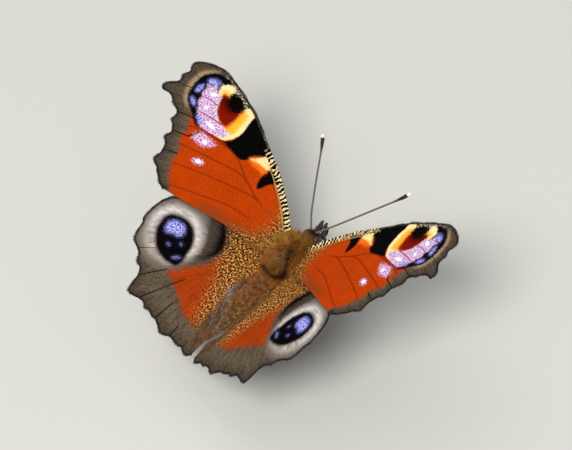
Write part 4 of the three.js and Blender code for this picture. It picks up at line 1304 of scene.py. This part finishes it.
for side, label in SIDES:
    # On the left the edge row is pale grey, a painted sheen of the sky on the hair.
    edge_hair = PAINTED_SHEEN_GREY if label == "left" else GOLDEN
    for name, slot, wing, shape, count, lie, length_mm, stand, hexes in (
            ("hair_forewing", "forewing", FORE, FORE_ROOT, 4200, (1, -0.5), 1.7, 0.25, GOLDEN),
            ("hair_hindwing", "hindwing", HIND, HIND_ROOT, 4200, (0.6, -1), 1.6, 0.2, GOLDEN),
            ("hair_inner", "hindwing", HIND, HIND_INNER, 5200, (-0.2, -1), 1.4, 0.12, BROWN_GREY),
            ("hair_edge", "hindwing", HIND, HIND_EDGE, 3600, (-0.22, -1), 1.7, 0.3, edge_hair)):
        wing_hair(f"{name}_{label}", wing, side, shape, count, lie, length_mm, stand, hexes)

# %% [markdown]
# The outer margin carries a fringe of fine stalked scales, dark in the dips and pale blue grey at the veins.

# %% Fringe
FRINGE_STEP = 0.07
FRINGE_DARK = "#1D1A1C"
FRINGE_PALE = "#5A5C70"
FRINGE_LENGTH, FRINGE_LONGER = 0.24, 0.16
FRINGE_WIDTH = 0.09
FRINGE_SUNK = 0.06
FRINGE_AHEAD = 0.1
FRINGE_SPREAD = 0.12
PALE_AT_VEIN, PALE_SHARE = (0.45, 0.9), 0.85


def fringe(name, wing, side):
    margin = wing["net"]["margin"]
    arc = run_length(margin)
    where = np.repeat(np.arange(FRINGE_AHEAD, arc[-1], FRINGE_STEP), 2)
    points = read_at(where, arc, margin)
    ahead = unit(read_at(where + FRINGE_AHEAD, arc, margin) - read_at(where - FRINGE_AHEAD, arc, margin))
    column = np.interp(where, arc, np.arange(len(margin))) / THREADS
    near_vein = np.cos(column * 2 * math.pi) * 0.5 + 0.5
    here, out, fwd, rises = wing_frame(wing, side, *points.T)
    lies = fwd * ahead[:, :1] - out * ahead[:, 1:]
    paler = (tone(FRINGE_PALE) - tone(FRINGE_DARK)) * ease(*PALE_AT_VEIN, near_vein)[:, None] * PALE_SHARE
    lengths = (FRINGE_LENGTH + FRINGE_LONGER * near_vein) * random.uniform(0.8, 1.15, len(where))
    piece = tufts(here - lies * FRINGE_SUNK, lies, rises, lengths, np.full(len(where), FRINGE_WIDTH),
                  tone(FRINGE_DARK) + paler, on_plan(points), FRINGE_SPREAD, droop=0)
    return finish_piece(piece, name, [FUR], [])


for side, label in SIDES:
    fringe(f"fringe_forewing_{label}", FORE, side)
    fringe(f"fringe_hindwing_{label}", HIND, side)

# %% [markdown]
# The compound eyes are large dark brown domes with a soft gloss, too fine in their facets to show but
# for a grain.

# %% Eyes
EYE_FINISH, tree = new_material("Cornea of a compound eye, smooth and faceted")
where = add_node(tree, "ShaderNodeTexCoord", out="Object")
facets = add_node(tree, "ShaderNodeTexVoronoi", inputs={"Vector": where, "Scale": 11000.0}, out="Distance")
colour = laid(tree, "#4E2416", "#1C0D08", (facets, 0.2, 0.6))
finish_material(tree, colour, facets, 0.25, 0.02, Roughness=0.28, Coat_Weight=0.4, Coat_Roughness=0.2)
for side, label in SIDES:
    bpy.ops.mesh.primitive_uv_sphere_add(segments=40, ring_count=24, radius=1)
    eye = moved(bpy.context.object, lambda ball: placed(
        side * (EYE["out"] + ball[:, 0] * EYE["half_out"]), EYE["fwd"] + ball[:, 1] * EYE["half_fwd"],
        EYE["up"] + ball[:, 2] * EYE["half_up"]))
    finish_piece(merged(eye), f"eye_{label}_dome", [EYE_FINISH], [f"eye_{label}"])

# %% [markdown]
# The antennae are thin ringed rods that end in a flat-tipped club. Dark scales with a pale ring at each
# joint cover the shaft, and the club is nearly black with a buff tip. Each is a grid rolled round its
# centre line.

# %% Antennae
ANTENNAE = {
    "left": [[0.5, 4.72, 0.2], [2.5, 6.8, 0.3], [4.27, 8.95, 0.2], [6.27, 12.0, 0.75], [8.57, 15.7, 1.52],
             [10.05, 17.93, 2.12]],
    "right": [[0.5, 4.72, 0.2], [2.4, 7.5, 0.3], [4.27, 10.4, 0.45], [6.27, 13.0, 0.98], [8.57, 16.0, 1.6],
              [10.05, 18.07, 2.15]],
}
ANTENNA_RADII = [(0, 0.19), (0.03, 0.15), (0.78, 0.145), (0.85, 0.19), (0.9, 0.28), (0.96, 0.31),
                 (0.985, 0.27), (0.9999, 0.15), (1, 0)]
ANTENNA_LENGTH = 17.0
ANTENNA_JOINT = 0.42
TUBE_SIDES = 14
FEELER, tree = new_material("Antenna cuticle, ringed and scaled")
unwrap = add_node(tree, "ShaderNodeUVMap", {"uv_map": "UVMap"})
along = add_node(tree, "ShaderNodeSeparateXYZ", inputs={"Vector": unwrap}, out="Y")
joint = along
for operation, amount in (("MULTIPLY", ANTENNA_LENGTH / ANTENNA_JOINT), ("FRACT", 0)):
    joint = add_node(tree, "ShaderNodeMath", {"operation": operation}, {0: joint, 1: amount})
colour = laid(tree, "#48423D", "#9A9082", (joint, 0.62, 0.74, 0.6), (along, 0.86, 0.8))
colour = laid(tree, colour, "#1B1614", (along, 0.82, 0.88))
colour = laid(tree, colour, "#F4EBD2", (along, 0.95, 0.965))
finish_material(tree, colour, joint, 0.4, 0.02, Roughness=0.55, Specular_IOR_Level=0.35)


def on_side(side, points, samples):
    """A smooth path through points of the butterfly's frame, mirrored for the right side, in metres."""
    path = curve_through(points, samples)
    return placed(side * path[:, 0], path[:, 1], path[:, 2])


for side, label in SIDES:
    made = tube(on_side(side, ANTENNAE[label], 120), ANTENNA_RADII, TUBE_SIDES, 200)
    finish_piece(made, f"antenna_{label}_ringed", [FEELER], [f"antenna_{label}"])

# %% [markdown]
# The palps stand up in front of the face like a snout. They are scaled and hairy, dark grey brown. The short
# forelegs are folded against the breast, and the tongue is coiled below the face.

# %% Palps, tongue and folded forelegs
PALP = [[0.42, 4.3, -1.3], [0.6, 5.3, -1.35], [0.62, 6.0, -1.15], [0.5, 6.5, -0.75]]
PALP_RADII = [(0, 0.3), (0.35, 0.4), (0.65, 0.32), (0.9, 0.15), (0.9999, 0.06), (1, 0)]
PALP_HAIR = ["#3C3230", "#51474A", "#241D1C", "#6C6264"]
FORELEG = [[0.85, 1.75, -2.75], [0.8, 2.9, -3.0], [0.75, 4.1, -2.75]]
FORELEG_RADII = [(0, 0.28), (0.3, 0.34), (0.7, 0.26), (0.97, 0.12), (1, 0)]
FORELEG_HAIR = ["#4A3626", "#6E5236", "#2C2019"]
COIL = {"fwd": 4.95, "up": -3.45, "start": 0.85, "end": 0.34, "turns": 1.9, "from": math.pi * 0.62}
COIL_RADII = [(0, 0.15), (0.5, 0.12), (0.999, 0.07), (1, 0)]
NEARLY_UP = [0.13, 0.2, 1.0]
HORN, tree = new_material("Horny cuticle, brown and smooth")
where = add_node(tree, "ShaderNodeTexCoord", out="Object")
mottle = add_node(tree, "ShaderNodeTexNoise", inputs={"Vector": where, "Scale": 2500.0}, out="Fac")
finish_material(tree, laid(tree, "#2A1D14", "#54402C", mottle), mottle, 0.3, 0.02, Roughness=0.45)


def tube_hair(name, path, radii, hexes, count, length_mm, width_mm, stand, spread):
    """Hair at random places on a tube, which lies along it."""
    path, radii = path / MM, np.array(radii)
    shares = random.random(count)
    where = shares * (len(path) - 1)
    k = np.minimum(where.astype(int), len(path) - 2)
    centre = path[k] + (path[k + 1] - path[k]) * (where - k)[:, None]
    forward = unit(path[k + 1] - path[k])
    across = unit(np.cross(forward, NEARLY_UP))
    turn = (random.random(count) * 2 * math.pi)[:, None]
    rises = across * np.cos(turn) + np.cross(forward, across) * np.sin(turn)
    roots = centre + rises * np.interp(shares, radii[:, 0], radii[:, 1])[:, None]
    patches = np.stack([turn[:, 0] / 2 / math.pi, shares], -1)
    hair(name, roots, rises, forward, patches, hexes, length_mm, width_mm, stand, spread)


for side, label in SIDES:
    for kind, slot, points, radii, hexes, length_mm in (
            ("palp", "palp", PALP, PALP_RADII, PALP_HAIR, 0.9),
            ("foreleg", "leg", FORELEG, FORELEG_RADII, FORELEG_HAIR, 0.6)):
        path = on_side(side, points, 40)
        core = tube(path, radii, TUBE_SIDES, 40)
        finish_piece(core, f"{kind}_{label}_core", [HORN], [f"{kind}_{label}"])
        tube_hair(f"{kind}_{label}_hair", path, radii, hexes, count=1900, length_mm=length_mm,
                  width_mm=0.055, stand=0.06, spread=0.045)

f = np.linspace(0, 1, 90)
radius = COIL["start"] + (COIL["end"] - COIL["start"]) * f
turn = COIL["from"] - f * COIL["turns"] * 2 * math.pi
path = placed(0, COIL["fwd"] + radius * np.cos(turn), COIL["up"] + radius * np.sin(turn))
finish_piece(tube(path, COIL_RADII, 12, 160), "proboscis_coil", [HORN], ["proboscis"])

# %% [markdown]
# The walking legs are slender and scaled, with fine hairs and a foot of five short joints. Each leg is one
# rolled grid through hip, knee, ankle and toe, thicker at the thigh and pinched at each joint.

# %% Legs
LEGS = {
    "mid": [[1.0, 0.4, 5.9], [1.3, 0.6, 5.72], [4.6, 2.2, 6.15], [6.7, 3.3, 0.62], [9.1, 5.4, 0.2]],
    "hind": [[0.9, -1.5, 5.5], [1.15, -1.65, 5.3], [4.3, -4.0, 5.75], [6.1, -7.0, 0.62], [7.6, -9.9, 0.2]],
}
# Each row is a joint, how far past it as a share of the leg, and the radius there in mm.
LEG_RADII = [(0, 0, 0.3), (1, 0, 0.3), (1, 0.02, 0.22), (1, 0.12, 0.34), (2, -0.06, 0.25), (2, -0.01, 0.2),
             (2, 0.01, 0.17), (2, 0.08, 0.21), (3, -0.04, 0.16), (3, -0.005, 0.13)]
TOE_JOINTS = 5
# How far past a toe joint, and the radius there. The first is in shares of the leg, the second of the foot.
TOE_PINCH, TOE_SWELL = (0.006, 0.11), (0.16, 0.145)
LEG_HAIR = ["#4A3624", "#7A5E40", "#2E221A", "#8C7354"]


def bent_path(points, samples, rounding=0.25):
    """A path through the joints with each bend rounded, and each joint's share of its length."""
    arc = run_length(np.array(points))
    where = np.linspace(0, arc[-1], samples)
    reach = rounding * np.minimum(1, np.minimum(where, arc[-1] - where))
    shifts = np.linspace(-1, 1, 7)
    near = [np.clip(where + shift * reach, 0, arc[-1]) for shift in shifts]
    return sum(read_at(at, arc, points) for at in near) / len(near), arc / arc[-1]


for pair, joints in LEGS.items():
    for side, label in SIDES:
        path, shares = bent_path(joints, 160)
        radii = [(shares[joint] + past, radius) for joint, past, radius in LEG_RADII]
        foot = 1 - shares[3]
        for k in range(TOE_JOINTS):
            start = shares[3] + foot * k / TOE_JOINTS
            radii += [(start + TOE_PINCH[0], TOE_PINCH[1]), (start + foot * TOE_SWELL[0], TOE_SWELL[1])]
        radii += [(0.998, 0.1), (1, 0)]
        path = standing(side * path[:, 0], path[:, 1], path[:, 2])
        names = [f"{part}_{pair}_{label}" for part in ("femur", "tibia", "tarsus")]
        finish_piece(tube(path, radii, TUBE_SIDES, 260), f"leg_{pair}_{label}", [HORN], names)
        tube_hair(f"leg_{pair}_{label}_hair", path, radii, LEG_HAIR, count=1500, length_mm=0.32,
                  width_mm=0.05, stand=0.3, spread=0.15)

# %% [markdown]
# The stage is a plain pale floor under soft studio light: one broad lamp high on the camera's left, a weaker
# one opposite, and an even pale surround.

# %% Floor and light
FLOOR_MM = 4000
bpy.ops.mesh.primitive_plane_add(size=FLOOR_MM * MM)
floor = bpy.context.object
floor.name = "floor"
PAPER, tree = new_material("Pale studio paper")
finish_material(tree, linear("#C9C7BE"), Roughness=0.9, Specular_IOR_Level=0.1)
floor.data.materials.append(PAPER)


def lamp(name, azimuth, elevation, distance_mm, size_mm, watts):
    bpy.ops.object.light_add(type="AREA")
    made = bpy.context.object
    made.name = name
    aim(made, azimuth, elevation, distance_mm)
    made.data.shape = "DISK"
    made.data.size = size_mm * MM
    made.data.energy = watts


lamp("key_light", azimuth=215, elevation=62, distance_mm=700, size_mm=420, watts=4.2)
lamp("fill_light", azimuth=60, elevation=45, distance_mm=800, size_mm=600, watts=1.4)
world = bpy.data.worlds.new("Studio surround")
bpy.context.scene.world = world
world.use_nodes = True
world.node_tree.nodes["Background"].inputs["Color"].default_value = (0.9, 0.93, 1.0, 1)
world.node_tree.nodes["Background"].inputs["Strength"].default_value = 0.5
print("stage ready")
